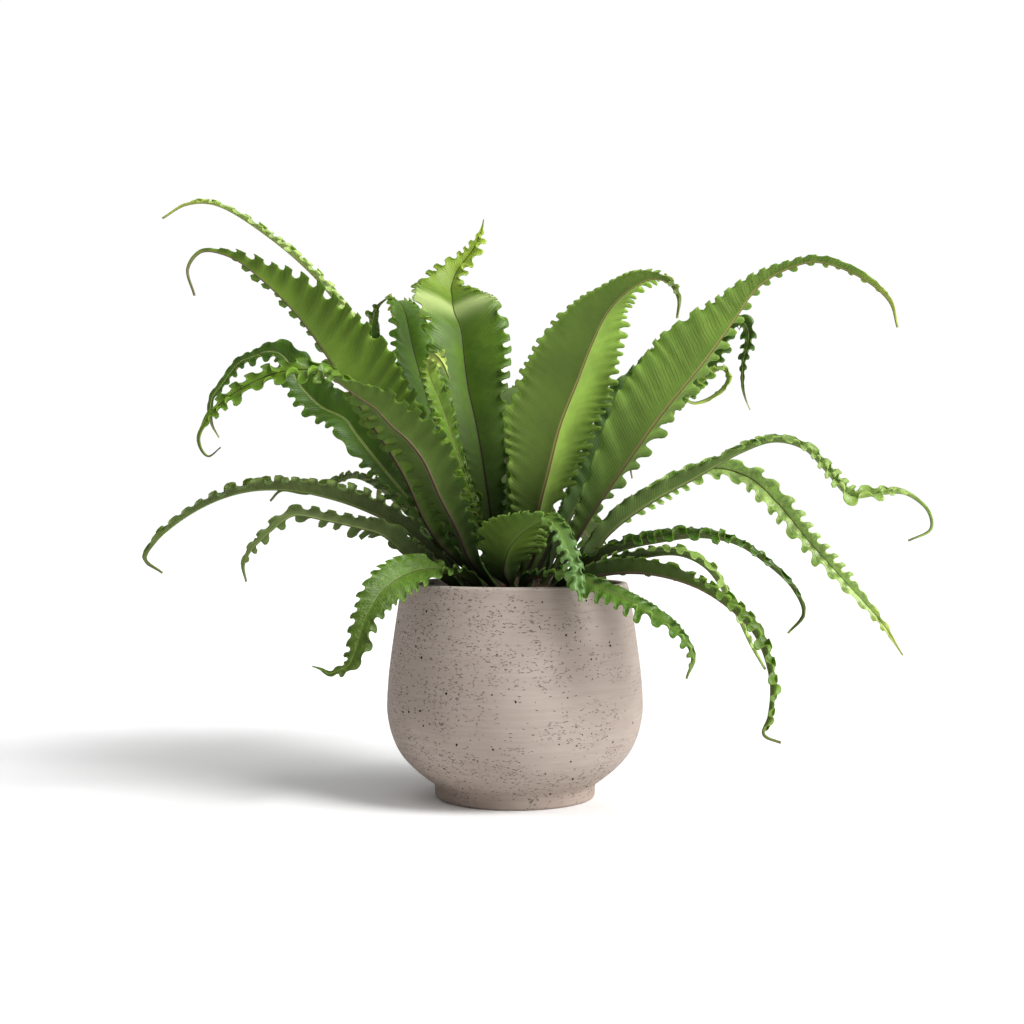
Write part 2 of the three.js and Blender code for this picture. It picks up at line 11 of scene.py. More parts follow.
import bmesh
import bpy
import numpy as np
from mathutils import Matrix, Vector


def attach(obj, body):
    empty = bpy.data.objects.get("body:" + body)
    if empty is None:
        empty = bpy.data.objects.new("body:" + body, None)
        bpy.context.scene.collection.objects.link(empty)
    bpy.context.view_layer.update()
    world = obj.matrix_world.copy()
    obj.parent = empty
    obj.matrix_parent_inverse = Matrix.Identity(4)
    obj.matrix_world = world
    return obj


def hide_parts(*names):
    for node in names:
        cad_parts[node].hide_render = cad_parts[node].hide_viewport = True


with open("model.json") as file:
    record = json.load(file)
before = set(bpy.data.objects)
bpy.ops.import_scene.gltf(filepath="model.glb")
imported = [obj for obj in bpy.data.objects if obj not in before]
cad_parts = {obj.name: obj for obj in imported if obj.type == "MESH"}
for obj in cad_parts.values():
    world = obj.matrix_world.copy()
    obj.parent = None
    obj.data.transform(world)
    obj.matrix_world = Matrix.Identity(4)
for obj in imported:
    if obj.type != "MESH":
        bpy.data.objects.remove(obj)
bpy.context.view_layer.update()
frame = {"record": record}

MM = 0.001

# Pot, soil and crown, in millimetres
POT_HEIGHT = 159
RIM_RADIUS = 84
BELLY_RADIUS = 95
BELLY_HEIGHT = 70
FOOT_RADIUS = 59
FOOT_HEIGHT = 10
WALL = 6
FLOOR_THICKNESS = 12
SOIL_TOP = 141
SOIL_RISE = 2
SOIL_EDGE_RADIUS = 79.2
SEAT_GAP = 0.3
CROWN_RADIUS = 36
CROWN_BOTTOM = 130
CROWN_TOP = 166
CROWN_SHOULDER = 145
POT_SIDES = 192
SOIL_SIDES = 120
CROWN_SIDES = 72

INNER_WALL = [(52, FLOOR_THICKNESS), (70, 24), (82, 38), (BELLY_RADIUS - WALL, BELLY_HEIGHT - 6),
              (BELLY_RADIUS - WALL - 0.6, 88), (83.5, 120), (79.5, SOIL_TOP)]
OUTER_WALL = [(FOOT_RADIUS + 1, FOOT_HEIGHT), (66.5, 15), (77, 24), (85.5, 34), (91.5, 47),
              (BELLY_RADIUS - 0.4, 61), (BELLY_RADIUS, BELLY_HEIGHT), (93.8, 90), (91, 113),
              (87.5, 137), (RIM_RADIUS + 1, 153)]

# A frond's own sizes, in millimetres
RING_RADII = (9, 19, 29)
STALK_DEPTH = 4
STUB_LENGTH = 11
SUNK_DEPTH = 8
BLADE_THICKNESS = 0.9
KEEL_AT_BASE = 2.6
KEEL_AT_TIP = 0.7
KEEL_WIDTH_AT_BASE = 2.4
KEEL_WIDTH_AT_TIP = 0.9
TIP_HALF_WIDTH = 0.8
FULL_CRIMP_HALF_WIDTH = 3.4

# Shares of a blade's length, of a wave's length and of a blade's half width, thickness and keel
BLADE_START = 0.12
TIP_START = 0.93
TIP_NARROWING = 0.6
CRIMP_SHARE = 0.32
CRIMP_OF_HALF_WIDTH = 0.6
TOOTH_HOOK = 0.14
MARGIN_THINNING = 0.45
KEEL_ABOVE = 0.2
COLUMN_CROWDING = 0.7

# How sharply a blade's pleats, teeth, crests and thinning set in
PLEAT_POWER = 1.2
TOOTH_POWER = 1.6
CREST_POWER = 1.4
THINNING_POWER = 4.0

# How much the margins' waves wander in pace and height, and the margins in width and level
PACE_WANDER = 0.5
HEIGHT_WANDER = 0.62
WIDTH_WANDER = 0.04
LEVEL_WANDER = 0.06

FIRST_FROND_SEED = 100

# How finely a blade is made
STEPS_PER_WAVE = 10
COLUMNS = 21

# The fronds. Azimuth, fold and roll are in degrees, and the rings are the crown's rows of holes.
# Left and right are half widths, evenly spaced along the midrib, which runs through the path's
# points. Pitch is the length of the margins' waves. Crimp, tooth, curl, overhang and pleat say how
# high the waves are and how they lean, where this differs from the usual.
USUAL_FROND = dict(roll=[0, 0], finish="mid green", pitch=12, crimp=1)
FRONDS = {
    "left_back_high": dict(
        azimuth=152, ring=1, fold=30, roll=[0, 0, -15, 0], finish="pale green", pitch=12, crimp=1.3,
        tooth=0.4, curl=0.9,
        left=[3.2, 7, 9, 9.5, 8.5, 7, 5.5, 4, 1],
        path=[(-48, 20, 212), (-78, 30, 262), (-109, 42, 329), (-148, 58, 387), (-195, 70, 430),
            (-240, 78, 457), (-264, 82, 457), (-283, 85, 447)]),
    "left_front_high": dict(
        azimuth=203, ring=1, fold=40, roll=[0, -28, -30, -25, 0], finish="pleated olive",
        pitch=11.5, crimp=1.1, pleat=0.5, curl=1.1, tooth=0.45, overhang=0.14,
        left=[3.2, 6, 9, 18, 28, 33, 38, 40, 41, 37, 32, 25, 16, 7, 1.8, 1.3, 0.9],
        right=[3.2, 6, 9, 12, 16, 18, 20, 21, 22, 20, 17, 13, 9, 4, 1.7, 1.3, 0.9],
        path=[(-59, -14, 194), (-83, -22, 242), (-116, -34, 294), (-153, -46, 349),
            (-179, -54, 376), (-200, -60, 391), (-220, -64, 394), (-229, -68, 381),
            (-224, -70, 362)]),
    "left_back_mid": dict(
        azimuth=178, ring=1, fold=18, roll=[0, 25, 50, 60, 75, 90, 95], finish="deep green",
        pitch=11.5, crimp=0.7, tooth=0.5, pleat=0.2,
        left=[3.2, 5, 8, 11, 14, 17, 17, 14, 8, 5, 4, 2, 1],
        right=[3.2, 5, 9, 14, 19, 21, 20, 20, 16, 5, 4, 3, 1],
        path=[(-60, 12, 192), (-83, 20, 222), (-103, 30, 246), (-123, 39, 271), (-131, 42, 282),
            (-150, 48, 292), (-159, 51, 300), (-170, 54, 313), (-176, 57, 326), (-184, 59, 335),
            (-194, 61, 337), (-207, 64, 333), (-217, 66, 329), (-232, 68, 311), (-239, 69, 302),
            (-241, 70, 292), (-240, 71, 280), (-235, 72, 270)]),
    "left_front_mid": dict(
        azimuth=234, ring=1, fold=20, roll=[0, -15, -28, -5, 85, 95, 95], finish="mid green",
        pitch=12, curl=1.2, overhang=0.14, pleat=0.2,
        left=[3.2, 8, 13, 18, 22, 21, 17, 12, 7, 6, 4, 1.2, 0.9],
        right=[3.2, 8.5, 11, 13, 17, 18, 16, 11, 7, 6, 4, 1.2, 0.9],
        path=[(-32, -30, 176), (-41, -40, 198), (-53, -56, 222), (-64, -70, 247), (-74, -79, 261),
            (-85, -85, 271), (-95, -90, 282), (-103, -93, 288), (-110, -96, 293), (-123, -101, 302),
            (-136, -105, 306), (-155, -109, 305), (-168, -111, 301), (-188, -114, 290),
            (-201, -116, 278), (-208, -117, 268), (-211, -117, 260), (-208, -118, 251),
            (-204, -118, 248), (-196, -118, 254)]),
    "left_low_long": dict(
        azimuth=187, ring=2, fold=35, roll=[0, -10, 0], finish="dull green", pitch=14, crimp=1.3,
        tooth=0.5,
        left=[3.2, 9, 16, 18, 12, 8, 6, 4, 1],
        path=[(-55, -4, 176), (-84, -8, 200), (-113, -18, 215), (-141, -30, 224), (-165, -38, 228),
            (-190, -44, 227), (-213, -50, 220), (-237, -55, 206), (-254, -60, 190),
            (-260, -62, 178), (-248, -63, 168)]),
    "left_low_mid": dict(
        azimuth=210, ring=2, fold=30, roll=[0, -15, -30, -50, -60], finish="dull green", pitch=13,
        crimp=1.4, tooth=0.6, curl=0.8,
        left=[3.2, 10, 14, 12, 7, 6, 5, 3, 1],
        path=[(-62, -30, 170), (-80, -36, 182), (-94, -46, 195), (-116, -56, 202), (-134, -63, 206),
            (-148, -69, 209), (-155, -71, 209), (-162, -74, 205), (-176, -79, 192),
            (-183, -82, 184), (-187, -84, 174), (-185, -86, 163)]),
    "left_back_low": dict(
        azimuth=160, ring=2, fold=20, finish="dull green", pitch=9, crimp=1.2,
        left=[3.2, 9, 12, 9, 5, 3, 1],
        path=[(-73, 40, 200), (-105, 49, 230), (-126, 56, 239), (-142, 62, 234), (-163, 66, 226),
            (-185, 68, 228), (-194, 70, 220)]),
    "left_rim": dict(
        azimuth=236, ring=2, fold=10, roll=[0, 5, 50, 72, 62, 60, 60], finish="over the rim",
        pitch=9, crimp=0.9, pleat=0.25,
        left=[3.2, 7, 11, 12, 14, 14, 14, 12, 7, 9, 5.5, 2, 1],
        right=[3.2, 7, 12, 13, 15, 15, 14, 12, 8.5, 7, 3.5, 2, 1],
        path=[(-34, -42, 164), (-50, -53, 170), (-66, -64, 170), (-76, -72, 167), (-85, -80, 162),
            (-92, -86, 156), (-97, -91, 148), (-102, -95, 138), (-106, -98, 125), (-109, -100, 115),
            (-113, -101, 107), (-119, -103, 104), (-126, -104, 102), (-131, -104, 105),
            (-137, -104, 107)]),
    "centre_left_tall": dict(
        azimuth=110, ring=0, fold=24, roll=[0, 8, 14, 14, 14], finish="kinked green", pitch=9.3,
        tooth=0.5, curl=1.0, overhang=0.12,
        left=[3.2, 7, 11, 15, 19, 23, 26, 28, 29, 31, 33, 35, 34, 20, 8, 4, 1],
        right=[3.2, 7.5, 12, 14, 17.5, 21, 24, 29, 33, 36, 36, 35, 23, 7, 7, 5, 1],
        path=[(-15, 14, 185), (-21, 19, 222), (-27, 24, 261), (-31, 30, 282), (-36, 36, 304),
            (-39, 40, 325), (-41, 42, 344), (-43, 46, 355), (-47, 54, 365), (-49, 64, 373),
            (-50, 73, 381), (-51, 80, 390), (-48, 85, 401), (-42, 87, 411), (-34, 87, 421),
            (-29, 86, 431), (-26, 86, 440), (-25, 86, 446)]),
    "centre_right_tall": dict(
        azimuth=290, ring=0, fold=22, roll=[0, 10, 10, 0], finish="light underneath", pitch=7,
        crimp=1.15, pleat=0.06, tooth=0.7, curl=0.5,
        left=[3.2, 13, 27, 36, 36, 26, 12, 6, 1],
        right=[3.2, 14, 28, 39, 39, 31, 14, 6, 1],
        path=[(14, -18, 180), (17, -25, 212), (24, -35, 241), (32, -45, 273), (44, -55, 304),
            (54, -65, 330), (64, -78, 350), (78, -95, 363), (91, -108, 368), (102, -118, 364),
            (108, -124, 352), (107, -126, 339)]),
    "right_tall": dict(
        azimuth=335, ring=1, fold=28, roll=[0, 28, 30, 25, 0], finish="spore striped", pitch=12,
        crimp=0.85, pleat=0.3, tooth=0.35, curl=0.9,
        left=[3.2, 6, 10, 16, 21, 22, 24, 23, 18, 13, 6, 4, 4, 4, 3.5, 2.5, 1],
        right=[3.2, 6, 10, 16, 23, 29, 34, 36, 36, 30, 20, 9, 5, 5, 4.5, 3, 1],
        path=[(42, -20, 188), (57, -27, 213), (76, -34, 241), (104, -44, 281), (131, -54, 315),
            (154, -62, 347), (163, -65, 361), (171, -67, 370), (185, -70, 379), (208, -76, 385),
            (238, -81, 374), (258, -84, 356), (263, -86, 338)]),
    "right_behind": dict(
        azimuth=5, ring=1, fold=28, roll=[0, 40, 45, 45], finish="blue green", pitch=12, pleat=0.3,
        left=[3.2, 9, 16, 24, 26, 15, 1],
        right=[3.2, 9, 14, 23, 30, 18, 1],
        path=[(34, 8, 194), (49, 12, 222), (68, 6, 251), (95, 0, 291), (114, -4, 323),
            (124, -6, 342), (129, -6, 353)]),
    "right_back_hook": dict(
        azimuth=49, ring=1, fold=20, roll=[0, 5, -20, -45, -55], finish="deep green", pitch=9,
        crimp=1.2, tooth=0.5,
        left=[3.2, 5, 7, 12, 17, 18, 18, 16, 11, 7, 4.5, 1.8, 0.8],
        right=[3.2, 4, 5, 7, 12, 15, 17, 17, 12, 7, 4.5, 1.8, 0.8],
        path=[(41, 50, 212), (70, 76, 256), (108, 96, 292), (147, 106, 322), (166, 108, 346),
            (173, 108, 359), (180, 107, 367), (187, 106, 366), (191, 105, 358), (190, 104, 347),
            (187, 104, 336), (186, 104, 325), (186, 104, 314), (188, 104, 304), (192, 104, 294)]),
    "right_back_curl": dict(
        azimuth=36, ring=2, fold=20, roll=[0, 20, 0], finish="young", pitch=10, crimp=1.25,
        curl=0.9,
        left=[3.2, 5, 6.5, 10, 14, 13, 9.5, 6.5, 4.5, 4.2, 3, 2, 1],
        path=[(58, 42, 212), (90, 48, 256), (121, 52, 288), (143, 54, 309), (154, 56, 320),
            (162, 58, 324), (168, 60, 319), (166, 62, 311), (159, 64, 304), (150, 66, 299),
            (141, 66, 297), (134, 66, 301), (132, 66, 309)]),
    "right_upper_long": dict(
        azimuth=352, ring=2, fold=42, roll=[0, 15, 15, 5, -25, -60, -70, -20, 0],
        finish="turning pale", pitch=13, crimp=1.1, tooth=0.5, curl=0.8,
        left=[3.2, 6.5, 10.5, 12.5, 12.5, 10.5, 8.5, 6.5, 5.5, 5, 5.5, 6.5, 7, 5, 2, 1.3, 1],
        path=[(71, 3, 197), (101, 6, 219), (132, 8, 236), (170, 10, 257), (196, 12, 265),
            (219, 14, 259), (235, 15, 243), (254, 16, 223), (277, 17, 225), (296, 18, 225),
            (313, 18, 212), (315, 18, 198), (298, 18, 189)]),
    "right_drooping": dict(
        azimuth=14, ring=2, fold=25, roll=[0, -10, -40, -62, -60, -55, -50], finish="pale green",
        pitch=12.5, crimp=0.8, tooth=0.5, pleat=0.35,
        left=[3.2, 6, 9, 11, 11, 8, 8.5, 10, 8, 7, 5.5, 3, 1.2],
        path=[(58, 21, 186), (82, 34, 204), (118, 46, 228), (153, 42, 244), (180, 33, 237),
            (201, 22, 216), (222, 12, 188), (244, 4, 162), (271, -4, 130), (287, -8, 105)]),
    "right_mid": dict(
        azimuth=326, ring=2, fold=35, roll=[0, -20, -35, -30, -20], finish="deep green", pitch=13,
        crimp=1.3, tooth=0.4, curl=0.8,
        left=[3.2, 8, 11, 10, 7, 5, 4.2, 2.5, 1],
        path=[(49, -28, 172), (77, -36, 185), (104, -44, 191), (132, -50, 194), (157, -56, 189),
            (178, -60, 175), (195, -64, 158), (202, -66, 140), (191, -68, 126)]),
    "right_mid_pale": dict(
        azimuth=311, ring=2, fold=20, roll=[0, -20, -20], finish="turning pale", pitch=11, curl=0.9,
        left=[3.2, 8, 12, 11, 7, 4, 1],
        path=[(60, -48, 170), (88, -62, 180), (115, -72, 182), (134, -76, 172), (152, -80, 143),
            (163, -84, 119), (172, -86, 103)]),
    "right_low": dict(
        azimuth=296, ring=2, fold=22, roll=[0, 0, -20, 0], finish="mid green", pitch=11, crimp=1.15,
        pleat=0.3, curl=0.9,
        left=[3.2, 9, 14, 15, 11, 8, 5, 1],
        path=[(53, -60, 166), (87, -78, 170), (119, -96, 163), (141, -108, 150), (160, -118, 130),
            (169, -126, 100), (167, -130, 77), (163, -132, 65), (174, -133, 60)]),
    "front_right": dict(
        azimuth=277, ring=2, fold=14, roll=[0, -25, -45, -40, -30], finish="front green", pitch=10,
        pleat=0.45, curl=0.9, tooth=0.5,
        left=[3.2, 8, 8, 8.6, 7.5, 4.5, 1],
        right=[3.2, 9, 13, 16, 12, 5.5, 1],
        path=[(10, -50, 164), (30, -70, 168), (44, -81, 165), (58, -92, 159), (84, -107, 147),
            (106, -119, 133), (117, -124, 116), (113, -127, 101)]),
    "front_centre": dict(
        azimuth=268, ring=1, fold=18, roll=[0, 0, -30, -50, -50], finish="olive to blue", pitch=8,
        crimp=1.3, curl=1.3, overhang=0.16, tooth=0.3,
        left=[3.2, 17, 26, 18, 10, 8, 6.2, 3.5],
        path=[(-8, -38, 170), (-3, -53, 188), (9, -66, 201), (21, -78, 206), (31, -88, 197),
            (35, -95, 187), (39, -100, 177), (42, -107, 162), (44, -110, 151)]),
    "back_left_bright": dict(
        azimuth=121, ring=1, fold=16, finish="fresh green", pitch=9,
        left=[3.2, 8, 19, 27, 24, 13, 1],
        path=[(-28, 46, 200), (-48, 60, 240), (-67, 78, 290), (-83, 94, 344), (-90, 106, 374),
            (-98, 128, 386), (-104, 154, 374)]),
    "back_left_dark": dict(
        azimuth=139, ring=2, fold=15, finish="deep green", pitch=10,
        left=[3.2, 7, 13, 16, 16, 14, 12, 8, 1],
        path=[(-54, 56, 200), (-84, 82, 258), (-107, 96, 315), (-117, 101, 355), (-113, 102, 377),
            (-104, 98, 384)]),
    "young_left": dict(
        azimuth=190, ring=0, fold=20, roll=[30, 60, 60], finish="young", pitch=7.5, crimp=1.3,
        tooth=0.15, curl=0.8, pleat=0.4,
        left=[3.2, 8, 13, 15, 12, 7, 1.5],
        right=[3.2, 4, 4, 6, 11, 8, 1.5],
        path=[(-26, 0, 205), (-44, -4, 257), (-55, -6, 290), (-64, -12, 314), (-61, -25, 326),
            (-53, -34, 319), (-48, -34, 308)]),
    "young_centre": dict(
        azimuth=50, ring=0, fold=10, finish="young", pitch=8,
        left=[3.2, 6, 6, 4, 1.5],
        path=[(0, 12, 220), (2, 20, 270), (5, 25, 296), (8, 29, 313)]),
    "young_right": dict(
        azimuth=350, ring=0, fold=15, finish="young", pitch=8,
        left=[3.2, 6, 7, 5, 1.5],
        path=[(20, -4, 215), (36, -2, 258), (52, 4, 286), (66, 8, 300), (76, 4, 297)]),
    "back_high": dict(
        azimuth=99, ring=1, fold=18,
        left=[3.2, 8, 19, 28, 26, 14, 6, 1],
        path=[(-6, 62, 238), (-12, 114, 294), (-16, 162, 312), (-20, 206, 295), (-22, 236, 260),
            (-21, 248, 232)]),
    "back_right_high": dict(
        azimuth=77, ring=1, fold=18,
        left=[3.2, 8, 17, 27, 25, 13, 6, 1],
        path=[(10, 70, 226), (28, 122, 284), (56, 168, 304), (82, 208, 298), (100, 239, 272),
            (108, 252, 242)]),
    "back_left_mid": dict(
        azimuth=116, ring=2, fold=18,
        left=[3.2, 8, 20, 25, 20, 9, 1],
        path=[(-30, 80, 202), (-60, 128, 244), (-88, 174, 258), (-112, 212, 248), (-126, 238, 220)]),
    "back_right_low": dict(
        azimuth=66, ring=2, fold=18,
        left=[3.2, 8, 19, 20, 14, 7, 1],
        path=[(26, 66, 182), (44, 110, 202), (60, 152, 194), (72, 184, 166), (78, 200, 132)]),
    "back_left_low": dict(
        azimuth=94, ring=2, fold=18,
        left=[3.2, 8, 19, 21, 15, 7, 1],
        path=[(-8, 72, 176), (-26, 118, 192), (-46, 162, 186), (-60, 194, 160), (-66, 210, 128)]),
}

# Node trees

SHADER, GEOMETRY = "ShaderNodeTree", "GeometryNodeTree"
FLOAT, WHOLE, VECTOR = "NodeSocketFloat", "NodeSocketInt", "NodeSocketVector"
SHAPE, MATERIAL = "NodeSocketGeometry", "NodeSocketMaterial"


def operator(operation, turned=False):
    """A method of Value that adds the node of one operation."""
    def method(value, other):
        pair = (other, value) if turned else (value, other)
        return value.nodes.join(operation, *pair)
    return method


class Value:
    """A node's output. A sum, product or power of it adds a Math or Vector Math node."""

    def __init__(self, nodes, socket):
        self.nodes = nodes
        self.socket = socket

    __add__ = operator("ADD")
    __sub__ = operator("SUBTRACT")
    __rsub__ = operator("SUBTRACT", turned=True)
    __mul__ = operator("MULTIPLY")
    __truediv__ = operator("DIVIDE")
    __pow__ = operator("POWER")
    __gt__ = operator("GREATER_THAN")
    __lt__ = operator("LESS_THAN")

    def __abs__(self):
        return self.nodes.math("ABSOLUTE", self)


def is_vector(value):
    if isinstance(value, Value):
        return value.socket.type in ("VECTOR", "RGBA")
    return isinstance(value, tuple)


class Nodes:
    """Adds nodes to a tree."""

    def __init__(self, tree):
        self.tree = tree

    def feed(self, socket, value):
        """Joins a Value to a socket, and sets anything else on it."""
        if isinstance(value, Value):
            self.tree.links.new(value.socket, socket)
        else:
            socket.default_value = value

    def fill(self, node, inputs):
        for name, value in inputs.items():
            self.feed(node.inputs[name], value)

    def values(self, kind, outputs, inputs=None, **settings):
        """Some outputs of a new node."""
        node = self.tree.nodes.new(kind)
        for name, value in settings.items():
            setattr(node, name, value)
        self.fill(node, inputs or {})
        return [Value(self, node.outputs[output]) for output in outputs]

    def value(self, kind, inputs=None, **settings):
        """The first output of a new node."""
        return self.values(kind, [0], inputs, **settings)[0]

    def math(self, operation, *values):
        return self.value("ShaderNodeMath", dict(enumerate(values)), operation=operation)

    def join(self, operation, first, second):
        """A Math node, or a Vector Math node where a vector is among the two."""
        if not is_vector(first) and not is_vector(second):
            return self.math(operation, first, second)
        if is_vector(second):
            return self.value("ShaderNodeVectorMath", {0: first, 1: second}, operation=operation)
        return self.value("ShaderNodeVectorMath", {0: first, "Scale": second}, operation="SCALE")

    def ramp(self, value, low, high, to_low=0.0, to_high=1.0):
        """A smooth step from to_low, at low and under, to to_high, at high and over."""
        inputs = {"Value": value, "From Min": low, "From Max": high, "To Min": to_low,
                  "To Max": to_high}
        return self.value("ShaderNodeMapRange", inputs, interpolation_type="SMOOTHSTEP")

    def mix(self, factor, first, second):
        """The colour first, turning to second as factor goes from 0 to 1."""
        inputs = {0: factor, 6: first, 7: second}
        return self.values("ShaderNodeMix", [2], inputs, data_type="RGBA")[0]

    def blend(self, factor, first, second):
        """The number first, turning to second as factor goes from 0 to 1."""
        return self.value("ShaderNodeMix", {0: factor, 2: first, 3: second}, data_type="FLOAT")

    def noise(self, place, scale, detail=2.0, output=0, **others):
        """Soft noise from 0 to 1, or as a colour from output 1."""
        inputs = {"Vector": place, "Scale": scale, "Detail": detail} | others
        return self.values("ShaderNodeTexNoise", [output], inputs)[0]

    def bump(self, height, strength, distance):
        inputs = {"Strength": strength, "Distance": distance, "Height": height}
        return self.value("ShaderNodeBump", inputs)

    def spot(self):
        """The place on the piece, in metres."""
        return self.values("ShaderNodeTexCoord", ["Object"])[0]

    def axes(self, vector, names):
        return self.values("ShaderNodeSeparateXYZ", names, {"Vector": vector})

    def random(self, low, high, seed):
        """A random number, or a random vector where low and high are vectors."""
        kind, first, output = ("FLOAT_VECTOR", 0, 0) if is_vector(low) else ("FLOAT", 2, 1)
        inputs = {first: low, first + 1: high, "Seed": seed}
        return self.values("FunctionNodeRandomValue", [output], inputs, data_type=kind)[0]

    def painted(self, shape, material):
        return self.value("GeometryNodeSetMaterial", {"Geometry": shape, "Material": material})

    def copied(self, points, shape, rotation, scale):
        """The shape at every point, as real geometry."""
        copies = self.value("GeometryNodeInstanceOnPoints", {
            "Points": points, "Instance": shape, "Rotation": rotation, "Scale": scale})
        return self.value("GeometryNodeRealizeInstances", {"Geometry": copies})


def new_tree(name, kind, inputs, outputs):
    """A tree with named sockets, its inputs as Values and the sockets of its outputs."""
    tree = bpy.data.node_groups.new(name, kind)
    for direction, sockets in (("INPUT", inputs), ("OUTPUT", outputs)):
        for label, socket_type, *value in sockets:
            socket = tree.interface.new_socket(label, in_out=direction, socket_type=socket_type)
            if value:
                socket.default_value = value[0]
    nodes = Nodes(tree)
    given = tree.nodes.new("NodeGroupInput").outputs
    out = tree.nodes.new("NodeGroupOutput").inputs
    return nodes, {socket.name: Value(nodes, socket) for socket in given if socket.name}, out


def run_tree(source, tree, values, name):
    """The plain mesh object that a Geometry Nodes tree makes of the source, which is removed."""
    modifier = source.modifiers.new("shape", "NODES")
    modifier.node_group = tree
    for item in tree.interface.items_tree:
        if item.item_type == "SOCKET" and item.in_out == "INPUT" and item.name in values:
            modifier[item.identifier] = values[item.name]
    graph = bpy.context.evaluated_depsgraph_get()
    evaluated = source.evaluated_get(graph)
    mesh = bpy.data.meshes.new_from_object(evaluated, preserve_all_data_layers=True, depsgraph=graph)
    mesh.name = name
    bpy.data.objects.remove(source)
    return placed(name, mesh)


def placed(name, mesh):
    piece = bpy.data.objects.new(name, mesh)
    bpy.context.scene.collection.objects.link(piece)
    return piece


def face_outwards(piece, smooth_degrees=None):
    """Merges doubles, turns every face outwards and shades the piece smooth."""
    work = bmesh.new()
    work.from_mesh(piece.data)
    bmesh.ops.remove_doubles(work, verts=work.verts, dist=1e-7)
    bmesh.ops.recalc_face_normals(work, faces=work.faces)
    for face in work.faces:
        face.smooth = True
    work.to_mesh(piece.data)
    work.free()
    if smooth_degrees is not None:
        piece.data.set_sharp_from_angle(angle=math.radians(smooth_degrees))


def finished(piece, slot, *nodes):
    """The piece rides on the one body and stands for CAD nodes. The slot is not used."""
    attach(piece, "root")
    if nodes:
        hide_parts(*nodes)


# Colours and shared surface effects


def paint(red, green, blue):
    """A colour as seen on a screen, from 0 to 255, as linear values."""
    def linear(value):
        value /= 255
        return value / 12.92 if value <= 0.04045 else ((value + 0.055) / 1.055) ** 2.4
    return (linear(red), linear(green), linear(blue), 1.0)


def tone(colour, factor):
    return tuple(min(value * factor, 1.0) for value in colour[:3]) + (1.0,)


def make_veins_group():
    """Fine slanted veins on both sides of a midrib, spaced by Pitch along the blade."""
    nodes, given, out = new_tree(
        "leaf veins", SHADER,
        [("Along", FLOAT, 0.0), ("Across", FLOAT, 0.0), ("Pitch", FLOAT, 0.02),
         ("Slant", FLOAT, 0.55), ("Width", FLOAT, 0.5), ("Wander", FLOAT, 0.04)],
        [("Vein", FLOAT)])
    shifted = given["Along"] - abs(given["Across"]) * given["Slant"]
    flat = nodes.value("ShaderNodeCombineXYZ", {"X": given["Along"], "Y": given["Across"]})
    wander = nodes.noise(flat, 9.0) * given["Wander"]
    count = shifted / given["Pitch"] + wander * 6.0
    from_vein = abs(nodes.math("FRACT", count) - 0.5) * 2.0
    nodes.feed(out["Vein"], nodes.ramp(from_vein, 1.0 - given["Width"], 1.0))
    return nodes.tree


def make_blotches_group():
    """Soft irregular patches from 0 to 1."""
    nodes, given, out = new_tree(
        "soft blotches", SHADER,
        [("Vector", VECTOR), ("Scale", FLOAT, 20.0), ("Low", FLOAT, 0.35), ("High", FLOAT, 0.65)],
        [("Blotch", FLOAT)])
    noise = nodes.noise(given["Vector"], given["Scale"], 3.0)
    nodes.feed(out["Blotch"], nodes.ramp(noise, given["Low"], given["High"]))
    return nodes.tree


VEINS = make_veins_group()
BLOTCHES = make_blotches_group()


def veins(nodes, along, across, pitch, width=0.5, wander=0.04):
    inputs = {"Along": along, "Across": across, "Pitch": pitch, "Width": width, "Wander": wander}
    return nodes.value("ShaderNodeGroup", inputs, node_tree=VEINS)


def blotches(nodes, spot, scale, low=0.35, high=0.65):
    inputs = {"Vector": spot, "Scale": scale, "Low": low, "High": high}
    return nodes.value("ShaderNodeGroup", inputs, node_tree=BLOTCHES)


def new_material(name):
    """A material, the maker of its nodes and its surface shader."""
    material = bpy.data.materials.new(name)
    material.use_nodes = True
    return material, Nodes(material.node_tree), material.node_tree.nodes["Principled BSDF"]


# The leaf finishes. A blade's chart has units of 100 mm, along the midrib and across it.

CHART_UNIT = 100 * MM
VEIN_PITCH = 0.021
SPORE_PITCH = 0.03
PATCH_SCALE = 34.0
GRAIN_SCALE = 170.0
BUBBLE_SCALE = 300.0
BROKEN_SCALE = 90.0
RELIEF = 0.5 * MM

# Painted shade deep in the crown, laid over the blades' feet
FOOT_SHADE = paint(18, 34, 3)
FOOT_BROWN = paint(36, 30, 16)
SPORE_BROWN = paint(84, 76, 28)
# Painted highlight across a blade's bend
BEND_HIGHLIGHT = paint(196, 212, 140)
VEIN_TINT = 0.26
GRAIN_TINT = 0.16
# Strength of the painted highlight on blister tops
BUBBLE_HIGHLIGHT_TINT = 0.45
# Strength of the paler margin, mostly a painted highlight on the waves' crests
MARGIN_AND_CREST_HIGHLIGHT = 0.4
# Strength of the painted highlight across the bend
BEND_HIGHLIGHT_TINT = 0.6
# Strength of the painted shade over the blades' feet
FOOT_SHADE_TINT = 0.86
UNDER_ROUGHNESS = 0.6
FOOT_ROUGHNESS = 0.85
GLOW_COLOUR = (0.55, 1.0, 0.25)
GLOW_DEPTH = 3 * MM


def spore_stripes(nodes, chart, spot, edge, share):
    """Dark dashes between midrib and margin, on all but the foot of the blade."""
    stripe = veins(nodes, *chart, SPORE_PITCH, 0.42, 0.2)
    inner = nodes.ramp(edge, 0.08, 0.2)
    outer = nodes.ramp(edge, 0.5, 0.78, 1.0, 0.0)
    broken = blotches(nodes, spot, BROKEN_SCALE, 0.25, 0.5)
    return stripe * inner * (outer * broken) * nodes.ramp(share, 0.2, 0.4)


